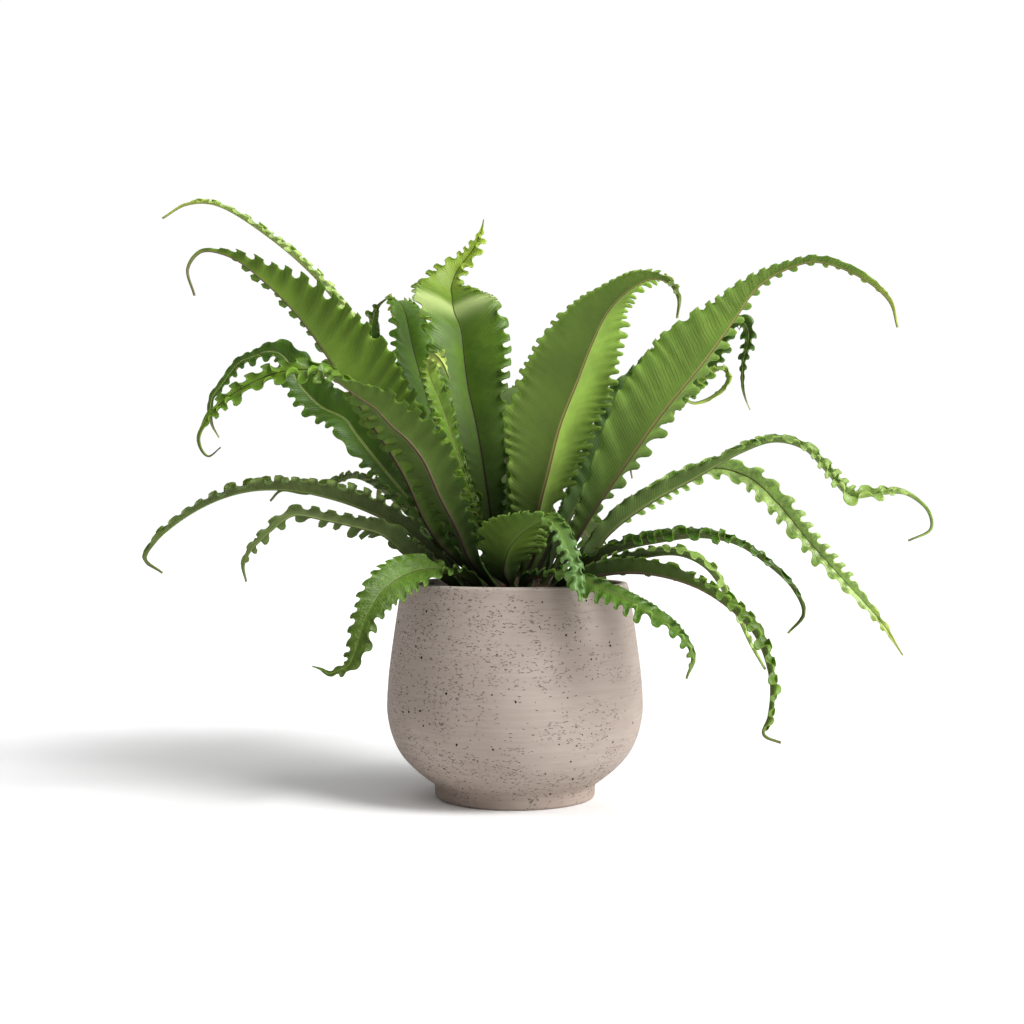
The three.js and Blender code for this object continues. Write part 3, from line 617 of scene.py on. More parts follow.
def leaf_finish(name, upper, under, ribs, tip, tip_from=0.84, spores=0.0, gloss=0.33, glow=0.2,
                shaded_half=0.0, foot=0.95, trough_shade=0.35, rumple_and_highlight=0.0, bend_highlight=None):
    """Upper and under faces, midrib, paler margin and tip of one kind of frond, with painted shade
    at the foot, in the margins' troughs and on one half, and painted highlights on the margins'
    crests, on blisters and on a bend.
    """
    material, nodes, surface = new_material("leaf " + name)
    along, across = nodes.axes(nodes.value("ShaderNodeUVMap", uv_map="blade"), ["X", "Y"])
    edge, underside, share, wave = (
        nodes.values("ShaderNodeAttribute", ["Fac"], attribute_name=label)[0]
        for label in ("edge", "underside", "share", "wave"))
    spot = nodes.spot()
    below = nodes.ramp(underside, 0.3, 0.7)
    from_rib = abs(across)
    wide = nodes.ramp(from_rib / nodes.math("MAXIMUM", edge, 0.05), 0.05, 0.13)
    vein = veins(nodes, along, across, VEIN_PITCH) * wide
    grain = blotches(nodes, spot, GRAIN_SCALE, 0.3, 0.7) * wide
    patch = blotches(nodes, spot, PATCH_SCALE)
    # The troughs of the margins' waves, where shade is painted
    trough = nodes.ramp(wave, -0.9, 0.5, 1.0, 0.0) * nodes.ramp(edge, 0.1, 0.7)

    def face(upper_factor, under_factor):
        return nodes.mix(below, tone(upper, upper_factor), tone(under, under_factor))

    top = nodes.mix(patch, tone(upper, 0.76), tone(upper, 1.14))
    bottom = nodes.mix(patch, tone(under, 0.82), tone(under, 1.12))
    shade = face(0.5, 0.6)
    bright = face(1.6, 1.3)
    colour = nodes.mix(below, top, bottom)
    # Painted shade in the troughs of the margins' waves
    colour = nodes.mix(trough * trough_shade, colour, shade)
    colour = nodes.mix(vein * VEIN_TINT, colour, bright)
    colour = nodes.mix(grain * GRAIN_TINT, colour, shade)
    height = vein * 0.4 + grain * 0.2
    # Blisters raised by bump, with a painted highlight on their tops
    if rumple_and_highlight:
        bubble = blotches(nodes, spot, BUBBLE_SCALE, 0.42, 0.62)
        colour = nodes.mix(bubble * (rumple_and_highlight * BUBBLE_HIGHLIGHT_TINT), colour, bright)
        height = height + bubble * rumple_and_highlight
    # Painted shade on one half of the blade
    if shaded_half:
        shaded_side = nodes.ramp(across, -0.01, 0.01, 0.0, shaded_half)
        colour = nodes.mix(shaded_side, colour, tone(under, 0.3))
    if spores:
        stripes = spore_stripes(nodes, (along, across), spot, edge, share)
        colour = nodes.mix(stripes * below * spores, colour, SPORE_BROWN)
    # A paler margin, mostly a painted highlight on the waves' crests
    rim = nodes.ramp(edge, 0.84, 1.0) * nodes.ramp(wave, -0.6, 0.7, 0.25, 1.0)
    colour = nodes.mix(rim * MARGIN_AND_CREST_HIGHLIGHT, colour, face(2.3, 1.9))
    # Painted highlight across the bend
    if bend_highlight:
        start, middle, end = bend_highlight
        lit = nodes.ramp(share, start, middle) * nodes.ramp(share, middle, end, 1.0, 0.0)
        colour = nodes.mix(lit * BEND_HIGHLIGHT_TINT, colour, BEND_HIGHLIGHT)
    colour = nodes.mix(nodes.ramp(share, tip_from, 1.0), colour, tip)
    # Painted shade deep in the crown darkens the blade's foot; the midrib's brown foot is its own
    # colour
    low = nodes.ramp(along, 0.2, foot, 1.0, 0.0)
    colour = nodes.mix(low * FOOT_SHADE_TINT, colour, FOOT_SHADE)

    rib_half = nodes.ramp(share, 0.0, 0.9, 0.02, 0.006)
    on_rib = nodes.ramp(from_rib, rib_half * 0.7, rib_half, 1.0, 0.0)
    groove = nodes.ramp(from_rib, rib_half * 0.12, rib_half * 0.5, 1.0, 0.0)
    rib_side, rib_middle = (nodes.mix(below, *colours) for colours in zip(*ribs))
    rib = nodes.mix(low, nodes.mix(groove, rib_side, rib_middle), FOOT_BROWN)

    rough = nodes.blend(below, gloss, UNDER_ROUGHNESS) + grain * 0.08
    nodes.fill(surface, {
        "Base Color": nodes.mix(on_rib, colour, rib),
        "Roughness": nodes.blend(low, rough, FOOT_ROUGHNESS),
        "Normal": nodes.bump(height - groove * 1.5, 0.6, RELIEF),
        "Subsurface Weight": glow,
        "Subsurface Radius": GLOW_COLOUR,
        "Subsurface Scale": GLOW_DEPTH,
        "Specular IOR Level": 0.24})
    return material


# A midrib's two sides and its middle groove
PALE_RIB = (paint(150, 164, 96), paint(70, 80, 30))
DARK_RIB = (paint(74, 82, 38), paint(36, 32, 18))
BROWN_KEEL = (paint(120, 104, 76), paint(58, 44, 32))
TAN_KEEL = (paint(150, 142, 84), paint(96, 86, 44))
GREEN_KEEL = (paint(112, 128, 66), paint(64, 76, 30))
FAINT_RIB = (paint(94, 118, 46), paint(74, 94, 32))
YELLOW_TIP = paint(164, 176, 76)
OLIVE_TIP = paint(84, 92, 40)

# The upper face, the under face, the midrib on both, the tip, and what else differs. Foot is how far
# the painted shade at the blade's foot reaches on the blade's chart. The tip's start and the painted
# highlight on the bend are at shares of the blade's length. Spores, glow, the painted shade on one
# half, the painted shade in the margins' troughs and the blisters with their painted highlight are
# strengths.
LEAF_KINDS = {
    "fresh green": (paint(82, 116, 26), paint(86, 110, 30), (DARK_RIB, TAN_KEEL), YELLOW_TIP, {}),
    "kinked green": (paint(82, 112, 26), paint(88, 112, 30), (DARK_RIB, TAN_KEEL),
                     paint(156, 178, 64),
                     dict(tip_from=0.66, foot=2.1, trough_shade=0.25, bend_highlight=(0.63, 0.7, 0.74))),
    "over the rim": (paint(80, 108, 34), paint(72, 92, 26), (FAINT_RIB, FAINT_RIB),
                     paint(58, 72, 18), dict(tip_from=0.3, rumple_and_highlight=0.8)),
    "front green": (paint(84, 116, 40), paint(76, 98, 34), (GREEN_KEEL, TAN_KEEL),
                    paint(96, 116, 36), dict(foot=1.3, trough_shade=0.7, rumple_and_highlight=0.6)),
    "dull green": (paint(84, 104, 44), paint(84, 98, 48), (DARK_RIB, GREEN_KEEL),
                   paint(78, 88, 44), dict(foot=1.6, trough_shade=0.55)),
    "pleated olive": (paint(76, 102, 24), paint(86, 112, 26), (DARK_RIB, BROWN_KEEL), OLIVE_TIP,
                      dict(foot=2.2, trough_shade=0.85)),
    "deep green": (paint(62, 90, 20), paint(82, 98, 38), (PALE_RIB, GREEN_KEEL),
                   paint(66, 74, 32), dict(foot=1.5)),
    "light underneath": (paint(100, 130, 44), paint(130, 160, 64), (PALE_RIB, TAN_KEEL), OLIVE_TIP,
                         dict(glow=0.25, shaded_half=0.68, foot=1.2, trough_shade=0.2)),
    "spore striped": (paint(98, 128, 40), paint(112, 142, 54), (PALE_RIB, TAN_KEEL), YELLOW_TIP,
                      dict(spores=0.6, glow=0.25, foot=2.4, trough_shade=0.6)),
    "mid green": (paint(84, 112, 28), paint(76, 98, 30), (DARK_RIB, BROWN_KEEL),
                  paint(96, 112, 44), dict(foot=1.9, trough_shade=0.45)),
    "turning pale": (paint(112, 142, 58), paint(84, 106, 44), (DARK_RIB, GREEN_KEEL),
                     paint(146, 170, 88), dict(tip_from=0.35, foot=1.3, trough_shade=0.6)),
    "pale green": (paint(150, 174, 96), paint(132, 154, 74), (GREEN_KEEL, TAN_KEEL), YELLOW_TIP,
                   dict(glow=0.3, trough_shade=0.75, gloss=0.24, rumple_and_highlight=0.7)),
    "blue green": (paint(80, 112, 46), paint(92, 120, 60), (DARK_RIB, GREEN_KEEL),
                   paint(100, 128, 70), {}),
    "olive to blue": (paint(82, 106, 32), paint(84, 108, 34), (FAINT_RIB, FAINT_RIB),
                      paint(92, 124, 66), dict(tip_from=0.3, foot=0.6, trough_shade=0.6)),
    "young": (paint(96, 126, 36), paint(96, 120, 44), (PALE_RIB, GREEN_KEEL),
              paint(176, 192, 96), dict(tip_from=0.66, glow=0.3, trough_shade=0.6, rumple_and_highlight=0.4)),
}
LEAVES = {kind: leaf_finish(kind, *colours, **others)
          for kind, (*colours, others) in LEAF_KINDS.items()}

# The fronds' midribs


def unit(vector):
    return vector / np.linalg.norm(vector)


def spread(values, share):
    """Evenly spaced values read at a share of the way from the first to the last."""
    return np.interp(share, np.linspace(0, 1, len(values)), values)


def between(start, end, share):
    return start + (end - start) * share


def outward_at(azimuth):
    turn = math.radians(azimuth)
    return np.array([math.cos(turn), math.sin(turn), 0.0])


def crown_height(radius):
    share = min(radius / CROWN_RADIUS, 1)
    return CROWN_TOP - (CROWN_TOP - CROWN_SHOULDER) * share * share


def foot_point(frond):
    radius = RING_RADII[frond["ring"]]
    foot = outward_at(frond["azimuth"]) * radius
    foot[2] = crown_height(radius) - SUNK_DEPTH
    return foot


class Curve:
    """A smooth curve through points, read by its share of the whole length."""

    DIVISIONS = 400
    SMALL_TURN = 1e-4

    def __init__(self, points):
        self.points = [np.asarray(point, float) for point in points]
        self.turns = np.linspace(0, 1, self.DIVISIONS + 1)
        steps = np.linalg.norm(np.diff([self.at(turn) for turn in self.turns], axis=0), axis=1)
        self.lengths = np.concatenate([[0.0], np.cumsum(steps)])
        self.length = float(self.lengths[-1])

    def at(self, turn):
        place = min(max(turn, 0.0), 1.0) * (len(self.points) - 1)
        index = min(int(place), len(self.points) - 2)
        weight = place - index
        start, end = self.points[index], self.points[index + 1]
        before = self.points[index - 1] if index else 2 * start - end
        last = index + 2 >= len(self.points)
        after = 2 * end - start if last else self.points[index + 2]
        first, middle, final = (math.sqrt(np.linalg.norm(far - near)) for near, far in
                                ((before, start), (start, end), (end, after)))
        leave = (start - before) / first - (end - before) / (first + middle) + (end - start) / middle
        arrive = (end - start) / middle - (after - start) / (middle + final) + (after - end) / final
        leave, arrive = leave * middle, arrive * middle
        cubic = 2 * start - 2 * end + leave + arrive
        square = -3 * start + 3 * end - 2 * leave - arrive
        return start + weight * (leave + weight * (square + weight * cubic))

    def turn_at(self, share):
        wanted = min(max(share, 0.0), 1.0) * self.length
        return float(np.interp(wanted, self.lengths, self.turns))

    def point(self, share):
        return self.at(self.turn_at(share))

    def tangent(self, share):
        turn = self.turn_at(share)
        ahead, behind = min(turn + self.SMALL_TURN, 1.0), max(turn - self.SMALL_TURN, 0.0)
        return unit(self.at(ahead) - self.at(behind))


def upright(tangent, upper):
    return unit(upper - tangent * upper.dot(tangent))


def rolled(tangent, upper, degrees):
    """The upper direction turned about the tangent."""
    turn = -math.radians(degrees)
    return upper * math.cos(turn) + np.cross(tangent, upper) * math.sin(turn)


def midrib(frond):
    """The foot, the curve that goes on from it, and the upper direction that it starts with."""
    foot = foot_point(frond)
    lean = unit(np.asarray(frond["path"][0], float) - foot)
    neck = foot + lean * STUB_LENGTH
    curve = Curve([neck] + list(frond["path"]))
    facing = -outward_at(frond["azimuth"])
    facing[2] = 1.0
    return foot, lean, curve, rolled(lean, upright(lean, facing), frond["roll"][0])


def soft_noise(random, count, waves):
    """Smooth noise about zero that changes over a number of waves."""
    spacing = STEPS_PER_WAVE * waves
    knots = random.uniform(-1.0, 1.0, int(count / spacing) + 4)
    places = np.arange(count) / spacing
    index = places.astype(int)
    weight = places - index
    weight = weight * weight * (3 - 2 * weight)
    return knots[index] * (1 - weight) + knots[index + 1] * weight


def smoothed(values, count, width=0.015):
    """Evenly spaced values as a longer list, softened over a share of its length."""
    fine = spread(values, np.linspace(0, 1, count))
    reach = max(int(count * width), 1)
    padded = np.pad(fine, reach, mode="edge")
    return np.convolve(padded, np.ones(2 * reach + 1) / (2 * reach + 1), mode="valid")


def smooth_step(value, low, high):
    share = np.clip((value - low) / (high - low), 0, 1)
    return share * share * (3 - 2 * share)


def margin(frond, side, random, share, length):
    """Half width, wave angle, wave height and slow sway of one margin along the blade."""
    halves = frond.get(side, frond["left"])
    count = len(share)
    half = np.maximum(smoothed(halves, count), TIP_HALF_WIDTH)
    half *= 1 - TIP_NARROWING * smooth_step(share, TIP_START, 1)
    pitch = frond["pitch"]
    angle = np.cumsum(1 + PACE_WANDER * soft_noise(random, count, 1.3))
    angle = angle / angle[-1] * length / pitch * 2 * math.pi + random.uniform(0, 6)
    grow = smooth_step(share, 0.04, 0.2)
    height = np.minimum(CRIMP_SHARE * pitch, CRIMP_OF_HALF_WIDTH * half) * frond["crimp"] * grow
    height *= smooth_step(half, TIP_HALF_WIDTH, FULL_CRIMP_HALF_WIDTH)
    height *= 1 + HEIGHT_WANDER * soft_noise(random, count, 0.9)
    sway = LEVEL_WANDER * half * soft_noise(random, count, 5) * grow
    half *= 1 + WIDTH_WANDER * soft_noise(random, count, 2)
    return {"half": half, "angle": angle, "height": height, "sway": sway,
            "pitch": height / CRIMP_SHARE}


def midrib_mesh(frond, seed):
    """The midrib as a chain of points. Each carries all that its section of the blade needs."""
    random = np.random.default_rng(seed)
    foot, lean, curve, upper = midrib(frond)
    steps = int(curve.length / frond["pitch"] * STEPS_PER_WAVE)
    share = np.linspace(0, 1, steps + 1)
    points, tangents, uppers = [foot], [lean], [upper]
    carried = upper
    for step in share:
        tangent = curve.tangent(step)
        carried = upright(tangent, carried)
        points.append(curve.point(step))
        tangents.append(tangent)
        uppers.append(rolled(tangent, carried, spread(frond["roll"], step) - frond["roll"][0]))

    body = smooth_step(share, 0, BLADE_START)
    numbers = {"share": share, "fold": np.radians(frond["fold"]) * body}
    lengths = {
        "along": STUB_LENGTH + share * curve.length,
        "thick": between(STALK_DEPTH, BLADE_THICKNESS, np.minimum(share / BLADE_START, 1)),
        "keel": between(KEEL_AT_BASE, KEEL_AT_TIP, share) * body,
        "keel_width": between(KEEL_WIDTH_AT_BASE, KEEL_WIDTH_AT_TIP, share),
        "wave_length": np.full(len(share), frond["pitch"]),
    }
    for side in ("left", "right"):
        for label, values in margin(frond, side, random, share, curve.length).items():
            kind = numbers if label == "angle" else lengths
            kind[f"{label}_{side}"] = values
    numbers |= {label: values * MM for label, values in lengths.items()}

    mesh = bpy.data.meshes.new("midrib")
    chain = [(index, index + 1) for index in range(len(points) - 1)]
    mesh.from_pydata([tuple(point * MM) for point in points], chain, [])
    for label, values in numbers.items():
        at_foot = 0 if label == "along" else values[0]
        attribute = mesh.attributes.new(label, "FLOAT", "POINT")
        attribute.data.foreach_set("value", np.concatenate([[at_foot], values]))
    vectors = {"tangent": tangents, "upper": uppers, "right": np.cross(tangents, uppers)}
    for label, values in vectors.items():
        attribute = mesh.attributes.new(label, "FLOAT_VECTOR", "POINT")
        attribute.data.foreach_set("vector", np.ravel(values))
    return mesh


# The fronds' blades


def make_blade_tree():
    """Sweeps a blade's section along its midrib and crimps its two margins."""
    nodes, given, out = new_tree(
        "crimped blade", GEOMETRY,
        [("Midrib", SHAPE), ("Columns", WHOLE, 17), ("Pleat", FLOAT, 0.1),
         ("Crimp reach", FLOAT, 7.0), ("Tooth", FLOAT, 0.7), ("Curl", FLOAT, 0.55),
         ("Overhang", FLOAT, 0.08), ("Slant", FLOAT, 0.45), ("Bow", FLOAT, 0.06),
         ("Finish", MATERIAL)],
        [("Blade", SHAPE)])

    def read(name, kind="FLOAT"):
        return nodes.values("GeometryNodeInputNamedAttribute", ["Attribute"], {"Name": name},
                            data_type=kind)[0]

    def store(geometry, name, value, kind="FLOAT", domain="POINT"):
        inputs = {"Geometry": geometry, "Name": name, "Value": value}
        return nodes.value("GeometryNodeStoreNamedAttribute", inputs, data_type=kind,
                           domain=domain)

    # The section is a ring of points: a row across the upper face and a row back underneath
    columns = given["Columns"]
    ring = nodes.value("GeometryNodeCurvePrimitiveCircle",
                       {"Resolution": columns * 2.0, "Radius": MM}, mode="RADIUS")
    ring = store(ring, "section", nodes.value("GeometryNodeInputIndex"))
    rib = nodes.value("GeometryNodeMeshToCurve", {"Mesh": given["Midrib"]})
    rib = store(rib, "middle", nodes.value("GeometryNodeInputPosition"), "FLOAT_VECTOR")
    blade = nodes.value("GeometryNodeCurveToMesh",
                        {"Curve": rib, "Profile Curve": ring, "Fill Caps": True})

    section = read("section")
    lower = section > columns - 0.5
    face = 1.0 - lower * 2.0
    place = ((section - lower * columns) / (columns - 1.0) * 2.0 - 1.0) * face
    level = abs(place)
    ends = 0.5 - nodes.math("COSINE", level * math.pi) * 0.5
    reach = nodes.blend(COLUMN_CROWDING, level, ends)
    on_right = place > 0.0
    side = on_right * 2.0 - 1.0

    def of_side(name):
        return nodes.blend(on_right, read(name + "_left"), read(name + "_right"))

    # Both halves rise from the rib by the fold
    half, height, pitch = of_side("half"), of_side("height"), of_side("pitch")
    fold = read("fold")
    rise, run = nodes.math("SINE", fold), nodes.math("COSINE", fold)
    upper, right = read("upper", "FLOAT_VECTOR"), read("right", "FLOAT_VECTOR")
    outward = right * (side * run) + upper * rise
    facing = upper * run - right * (side * rise)
    from_rib = reach * half

    # The margins' waves run slanted towards the tip and rise and fall most at the margin
    slanted = from_rib * given["Slant"] / read("wave_length") * (2 * math.pi)
    angle = of_side("angle") - slanted
    wave = nodes.math("SINE", angle)
    double_wave = nodes.math("SINE", angle * 2.0)
    crimp = reach ** given["Crimp reach"]
    swing = nodes.math("MAXIMUM", crimp, reach ** PLEAT_POWER * given["Pleat"])
    bow = nodes.math("SINE", reach * math.pi) * half * given["Bow"]
    lift = height * swing * wave + bow + of_side("sway") * (reach * reach)

    # Each wave's trough runs out into a tooth, and its crest curls in over the blade
    tooth = ((1.0 - wave) * 0.5) ** TOOTH_POWER
    crest = nodes.math("MAXIMUM", wave, 0.0) ** CREST_POWER
    spike = (tooth * given["Tooth"] - crest * given["Curl"]) * height * crimp
    lean = (double_wave * given["Overhang"] - tooth * TOOTH_HOOK) * pitch * crimp

    # The blade thins towards the margin, and the keel stands out under the rib and a little over it
    taper = 1.0 - reach ** THINNING_POWER * MARGIN_THINNING
    lift = lift + read("thick") * 0.5 * taper * face
    ratio = from_rib / read("keel_width")
    ridge = nodes.math("EXPONENT", ratio * ratio * -1.0)
    keel = read("keel") * ridge * (KEEL_ABOVE - lower * (1 + KEEL_ABOVE))
    spot = read("middle", "FLOAT_VECTOR") + outward * (from_rib + spike) + facing * lift
    spot = spot + upper * keel - read("tangent", "FLOAT_VECTOR") * lean

    for name, value in (("edge", reach), ("underside", lower), ("wave", wave)):
        blade = store(blade, name, value)
    chart = nodes.value("ShaderNodeCombineXYZ", {
        "X": read("along") * (1 / CHART_UNIT), "Y": from_rib * side * (1 / CHART_UNIT)})
    blade = store(blade, "blade", chart, "FLOAT2", "CORNER")
    blade = nodes.value("GeometryNodeSetPosition", {"Geometry": blade, "Position": spot})
    blade = nodes.value("GeometryNodeRealizeInstances", {"Geometry": blade})
    nodes.feed(out["Blade"], nodes.painted(blade, given["Finish"]))
    return nodes.tree


KEPT_ATTRIBUTES = ("position", "blade", "edge", "underside", "share", "wave", "material_index",
                   "sharp_face", "sharp_edge")


def make_fronds():
    tree = make_blade_tree()
    slots = {part["node"]: part["material_slot"] for part in frame["record"]["subparts"]}
    for number, (place, own) in enumerate(FRONDS.items()):
        name = "frond_" + place
        frond = USUAL_FROND | own
        values = {"Columns": COLUMNS, "Finish": LEAVES[frond["finish"]]}
        for label in ("Pleat", "Tooth", "Curl", "Overhang"):
            if label.lower() in frond:
                values[label] = frond[label.lower()]
        source = placed("midrib", midrib_mesh(frond, FIRST_FROND_SEED + number))
        piece = run_tree(source, tree, values, name + "_fine")
        for attribute in list(piece.data.attributes):
            if attribute.name not in KEPT_ATTRIBUTES and not attribute.name.startswith("."):
                piece.data.attributes.remove(attribute)
        face_outwards(piece)
        finished(piece, slots[name], name)


# Turned pieces


def rounded(points, steps):
    """More points on a smooth line through the given [radius, height] points."""
    line = Curve([(radius, 0.0, height) for radius, height in points])
    return [tuple(line.point(step / steps)[[0, 2]]) for step in range(steps + 1)]


def ring_of(radius, height, sides):
    """Points round the Z axis, in metres."""
    turns = [2 * math.pi * side / sides for side in range(sides)]
    return [(radius * MM * math.cos(turn), radius * MM * math.sin(turn), height * MM)
            for turn in turns]


def turned_mesh(name, profile, sides):
    """A closed profile from axis to axis, turned about Z."""
    vertices, faces, rings = [], [], []
    for radius, height in profile:
        on_axis = radius < 1e-6
        first = len(vertices)
        rings.append([first] * sides if on_axis else [first + side for side in range(sides)])
        vertices += [(0.0, 0.0, height * MM)] if on_axis else ring_of(radius, height, sides)
    for near, far in zip(rings, rings[1:]):
        for side in range(sides):
            following = (side + 1) % sides
            corners = [near[side], near[following], far[following], far[side]]
            faces.append(list(dict.fromkeys(corners)))
    mesh = bpy.data.meshes.new(name)
    mesh.from_pydata(vertices, [], [face for face in faces if len(face) > 2])
    return mesh


def arc(centre, radius, start, end, steps):
    """Points of an arc in the [radius, height] plane, by degrees from level."""
    turns = [math.radians(start + (end - start) * step / steps) for step in range(steps + 1)]
    return [(centre[0] + radius * math.cos(turn), centre[1] + radius * math.sin(turn))
            for turn in turns]


def pot_profile():
    underside = [(0, 0.8), (50, 0.8), (54, 0)]
    foot = arc((FOOT_RADIUS - 2, 2.4), 2.4, -90, 0, 5)
    side = rounded([(FOOT_RADIUS + 0.5, 5)] + OUTER_WALL, 60)
    lip_outside = arc((RIM_RADIUS - 2, POT_HEIGHT - 2), 2, 15, 90, 6)
    lip_inside = arc((RIM_RADIUS - WALL + 2.4, POT_HEIGHT - 2), 2, 90, 180, 6)
    inside = rounded(INNER_WALL[::-1], 24)
    return underside + foot + side + lip_outside + lip_inside + inside + [(0, FLOOR_THICKNESS)]


# The pot

PINHOLE_SCALE = 330.0
SCAR_SCALE = 280.0
WALL_COLOURS = (paint(155, 142, 133), paint(168, 155, 146))
BRUSH_BROWN = paint(140, 126, 114)
FOOT_TAN = paint(138, 120, 104)
# Painted highlight along the lip
RIM_HIGHLIGHT = paint(200, 190, 178)
# Painted shade inside the pinholes and scars
PINHOLE_SHADE = paint(78, 64, 52)
PITS_A_SQUARE_METRE = 9000
SMALLEST_PIT = 0.3 * MM
LARGEST_PIT = 1 * MM


def make_stone_group():
    """Cast wall: level brush marks, soft clouds, and pinholes and scars in loose bands."""
    nodes, given, out = new_tree(
        "cast wall", SHADER, [("Vector", VECTOR)],
        [("Brush", FLOAT), ("Cloud", FLOAT), ("Pinhole", FLOAT)])
    spot = given["Vector"]
    brush = nodes.noise(spot * (1.0, 1.0, 20.0), 24.0, 5.0)
    cloud = nodes.noise(spot, 16.0, 4.0)
    across = nodes.axes(spot, ["X"])[0]
    tilted = nodes.value("ShaderNodeMapping", {
        "Vector": spot, "Rotation": (0.0, 0.2, 0.0), "Scale": (1.0, 1.0, 2.4)})
    bands = nodes.noise(tilted, 20.0, 3.0) - across * 0.8

    waver = (nodes.noise(spot, PINHOLE_SCALE, output=1) - (0.5, 0.5, 0.5)) * 0.0022
    cell, from_middle = nodes.values("ShaderNodeTexVoronoi", ["Color", "Distance"], {
        "Vector": (spot + waver) * (1.0, 1.0, 3.4), "Scale": PINHOLE_SCALE, "Randomness": 1.0})
    reach = nodes.ramp(cell, 0.3, 1.0, 0.2, 0.42)
    hole = nodes.ramp(from_middle, reach * 0.55, reach, 1.0, 0.0)
    few = nodes.math("GREATER_THAN", cell, nodes.ramp(bands, 0.36, 0.6, 0.9, 0.45))
    scar = nodes.noise(tilted, SCAR_SCALE, 3.0, Roughness=0.6)
    scar = nodes.ramp(scar, 0.34, 0.375, 1.0, 0.0) * nodes.ramp(bands, 0.43, 0.56)
    nodes.feed(out["Brush"], nodes.ramp(brush, 0.32, 0.68))
    nodes.feed(out["Cloud"], nodes.ramp(cloud, 0.3, 0.7))
    nodes.feed(out["Pinhole"], nodes.math("MAXIMUM", hole * few, scar))
    return nodes.tree


def pot_finish():
    material, nodes, surface = new_material("cast taupe wall")
    spot = nodes.spot()
    brush, cloud, pinhole = nodes.values("ShaderNodeGroup", ["Brush", "Cloud", "Pinhole"],
                                         {"Vector": spot}, node_tree=make_stone_group())
    height = nodes.axes(spot, ["Z"])[0]
    low = nodes.ramp(height, 0.004, 0.045, 1.0, 0.0)
    # A painted highlight along the top of the lip
    rim = nodes.ramp(height, (POT_HEIGHT - 3) * MM, (POT_HEIGHT - 0.5) * MM)
    colour = nodes.mix(cloud, *WALL_COLOURS)
    # Pinholes and scars are painted dark as the shade inside them
    for share, other in ((brush * 0.22, BRUSH_BROWN), (low * 0.3, FOOT_TAN),
                         (rim * 0.4, RIM_HIGHLIGHT), (pinhole * 0.74, PINHOLE_SHADE)):
        colour = nodes.mix(share, colour, other)
    nodes.fill(surface, {
        "Base Color": colour,
        "Roughness": nodes.blend(brush, 0.72, 0.86),
        "Normal": nodes.bump(brush * 0.2 - pinhole, 0.8, 0.0008),
        "Specular IOR Level": 0.3})
    return material


def pit_finish():
    material, nodes, surface = new_material("pit shadow")
    patch = blotches(nodes, nodes.spot(), 120.0)
    nodes.fill(surface, {"Base Color": nodes.mix(patch, paint(50, 40, 32), paint(92, 76, 64)),
                         "Roughness": 0.95})
    return material


def make_pits_tree():
    """Small hollows cut into the wall, in loose level clusters."""
    nodes, given, out = new_tree(
        "pitted wall", GEOMETRY,
        [("Wall", SHAPE), ("Pits a square metre", FLOAT, PITS_A_SQUARE_METRE),
         ("Smallest", FLOAT, SMALLEST_PIT), ("Largest", FLOAT, LARGEST_PIT), ("Seed", WHOLE, 7),
         ("Finish", MATERIAL), ("Hollow finish", MATERIAL)],
        [("Wall", SHAPE)])
    wall = nodes.painted(given["Wall"], given["Finish"])
    position = nodes.value("GeometryNodeInputPosition")
    normal = nodes.value("GeometryNodeInputNormal")
    height = nodes.axes(position, ["Z"])[0]
    outward = nodes.values("ShaderNodeVectorMath", ["Value"], {0: position, 1: normal},
                           operation="DOT_PRODUCT")[0]
    chosen = (outward > 0.02) * (height > 0.012) * (height < (POT_HEIGHT - 4) * MM)
    cluster = nodes.ramp(nodes.noise(position * (1.0, 1.0, 2.2), 24.0), 0.44, 0.62, 0.06, 1.0)
    points = nodes.value("GeometryNodeDistributePointsOnFaces", {
        "Mesh": wall, "Density": cluster * chosen * given["Pits a square metre"],
        "Seed": given["Seed"]})
    size = nodes.random(0.0, 1.0, given["Seed"]) ** 3.0
    size = nodes.blend(size, given["Smallest"], given["Largest"])
    stretch = nodes.value("ShaderNodeCombineXYZ", {"X": size * 0.9, "Y": size * 2.3, "Z": size})
    turn = nodes.value("FunctionNodeAlignRotationToVector", {"Vector": normal * (1.0, 1.0, 0.0)},
                       axis="X", pivot_axis="Z")
    ball = nodes.value("GeometryNodeMeshIcoSphere", {"Radius": 1.0, "Subdivisions": 2})
    balls = nodes.copied(points, nodes.painted(ball, given["Hollow finish"]), turn, stretch)
    cut = nodes.value("GeometryNodeMeshBoolean",
                      {"Mesh 1": wall, "Mesh 2": balls, "Self Intersection": True},
                      operation="DIFFERENCE", solver="EXACT")
    nodes.feed(out["Wall"], cut)
    return nodes.tree


def make_pot():
    piece = placed("pot_wall", turned_mesh("wall", pot_profile(), POT_SIDES))
    face_outwards(piece)
    finish = pot_finish()
    values = {"Finish": finish, "Hollow finish": pit_finish()}
    piece = run_tree(piece, make_pits_tree(), values, "pot_wall")
    face_outwards(piece, 40)
    finished(piece, "pot", "pot")


# Soil and crown


def earth_finish(name, dark, light, scale):
    material, nodes, surface = new_material(name)
    spot = nodes.spot()
    grain = blotches(nodes, spot, scale * 6, 0.3, 0.7)
    colour = nodes.mix(blotches(nodes, spot, scale), dark, light)
    nodes.fill(surface, {"Base Color": nodes.mix(grain * 0.5, colour, dark),
                         "Normal": nodes.bump(grain, 0.8, 0.0008),
                         "Roughness": 0.94})
    return material


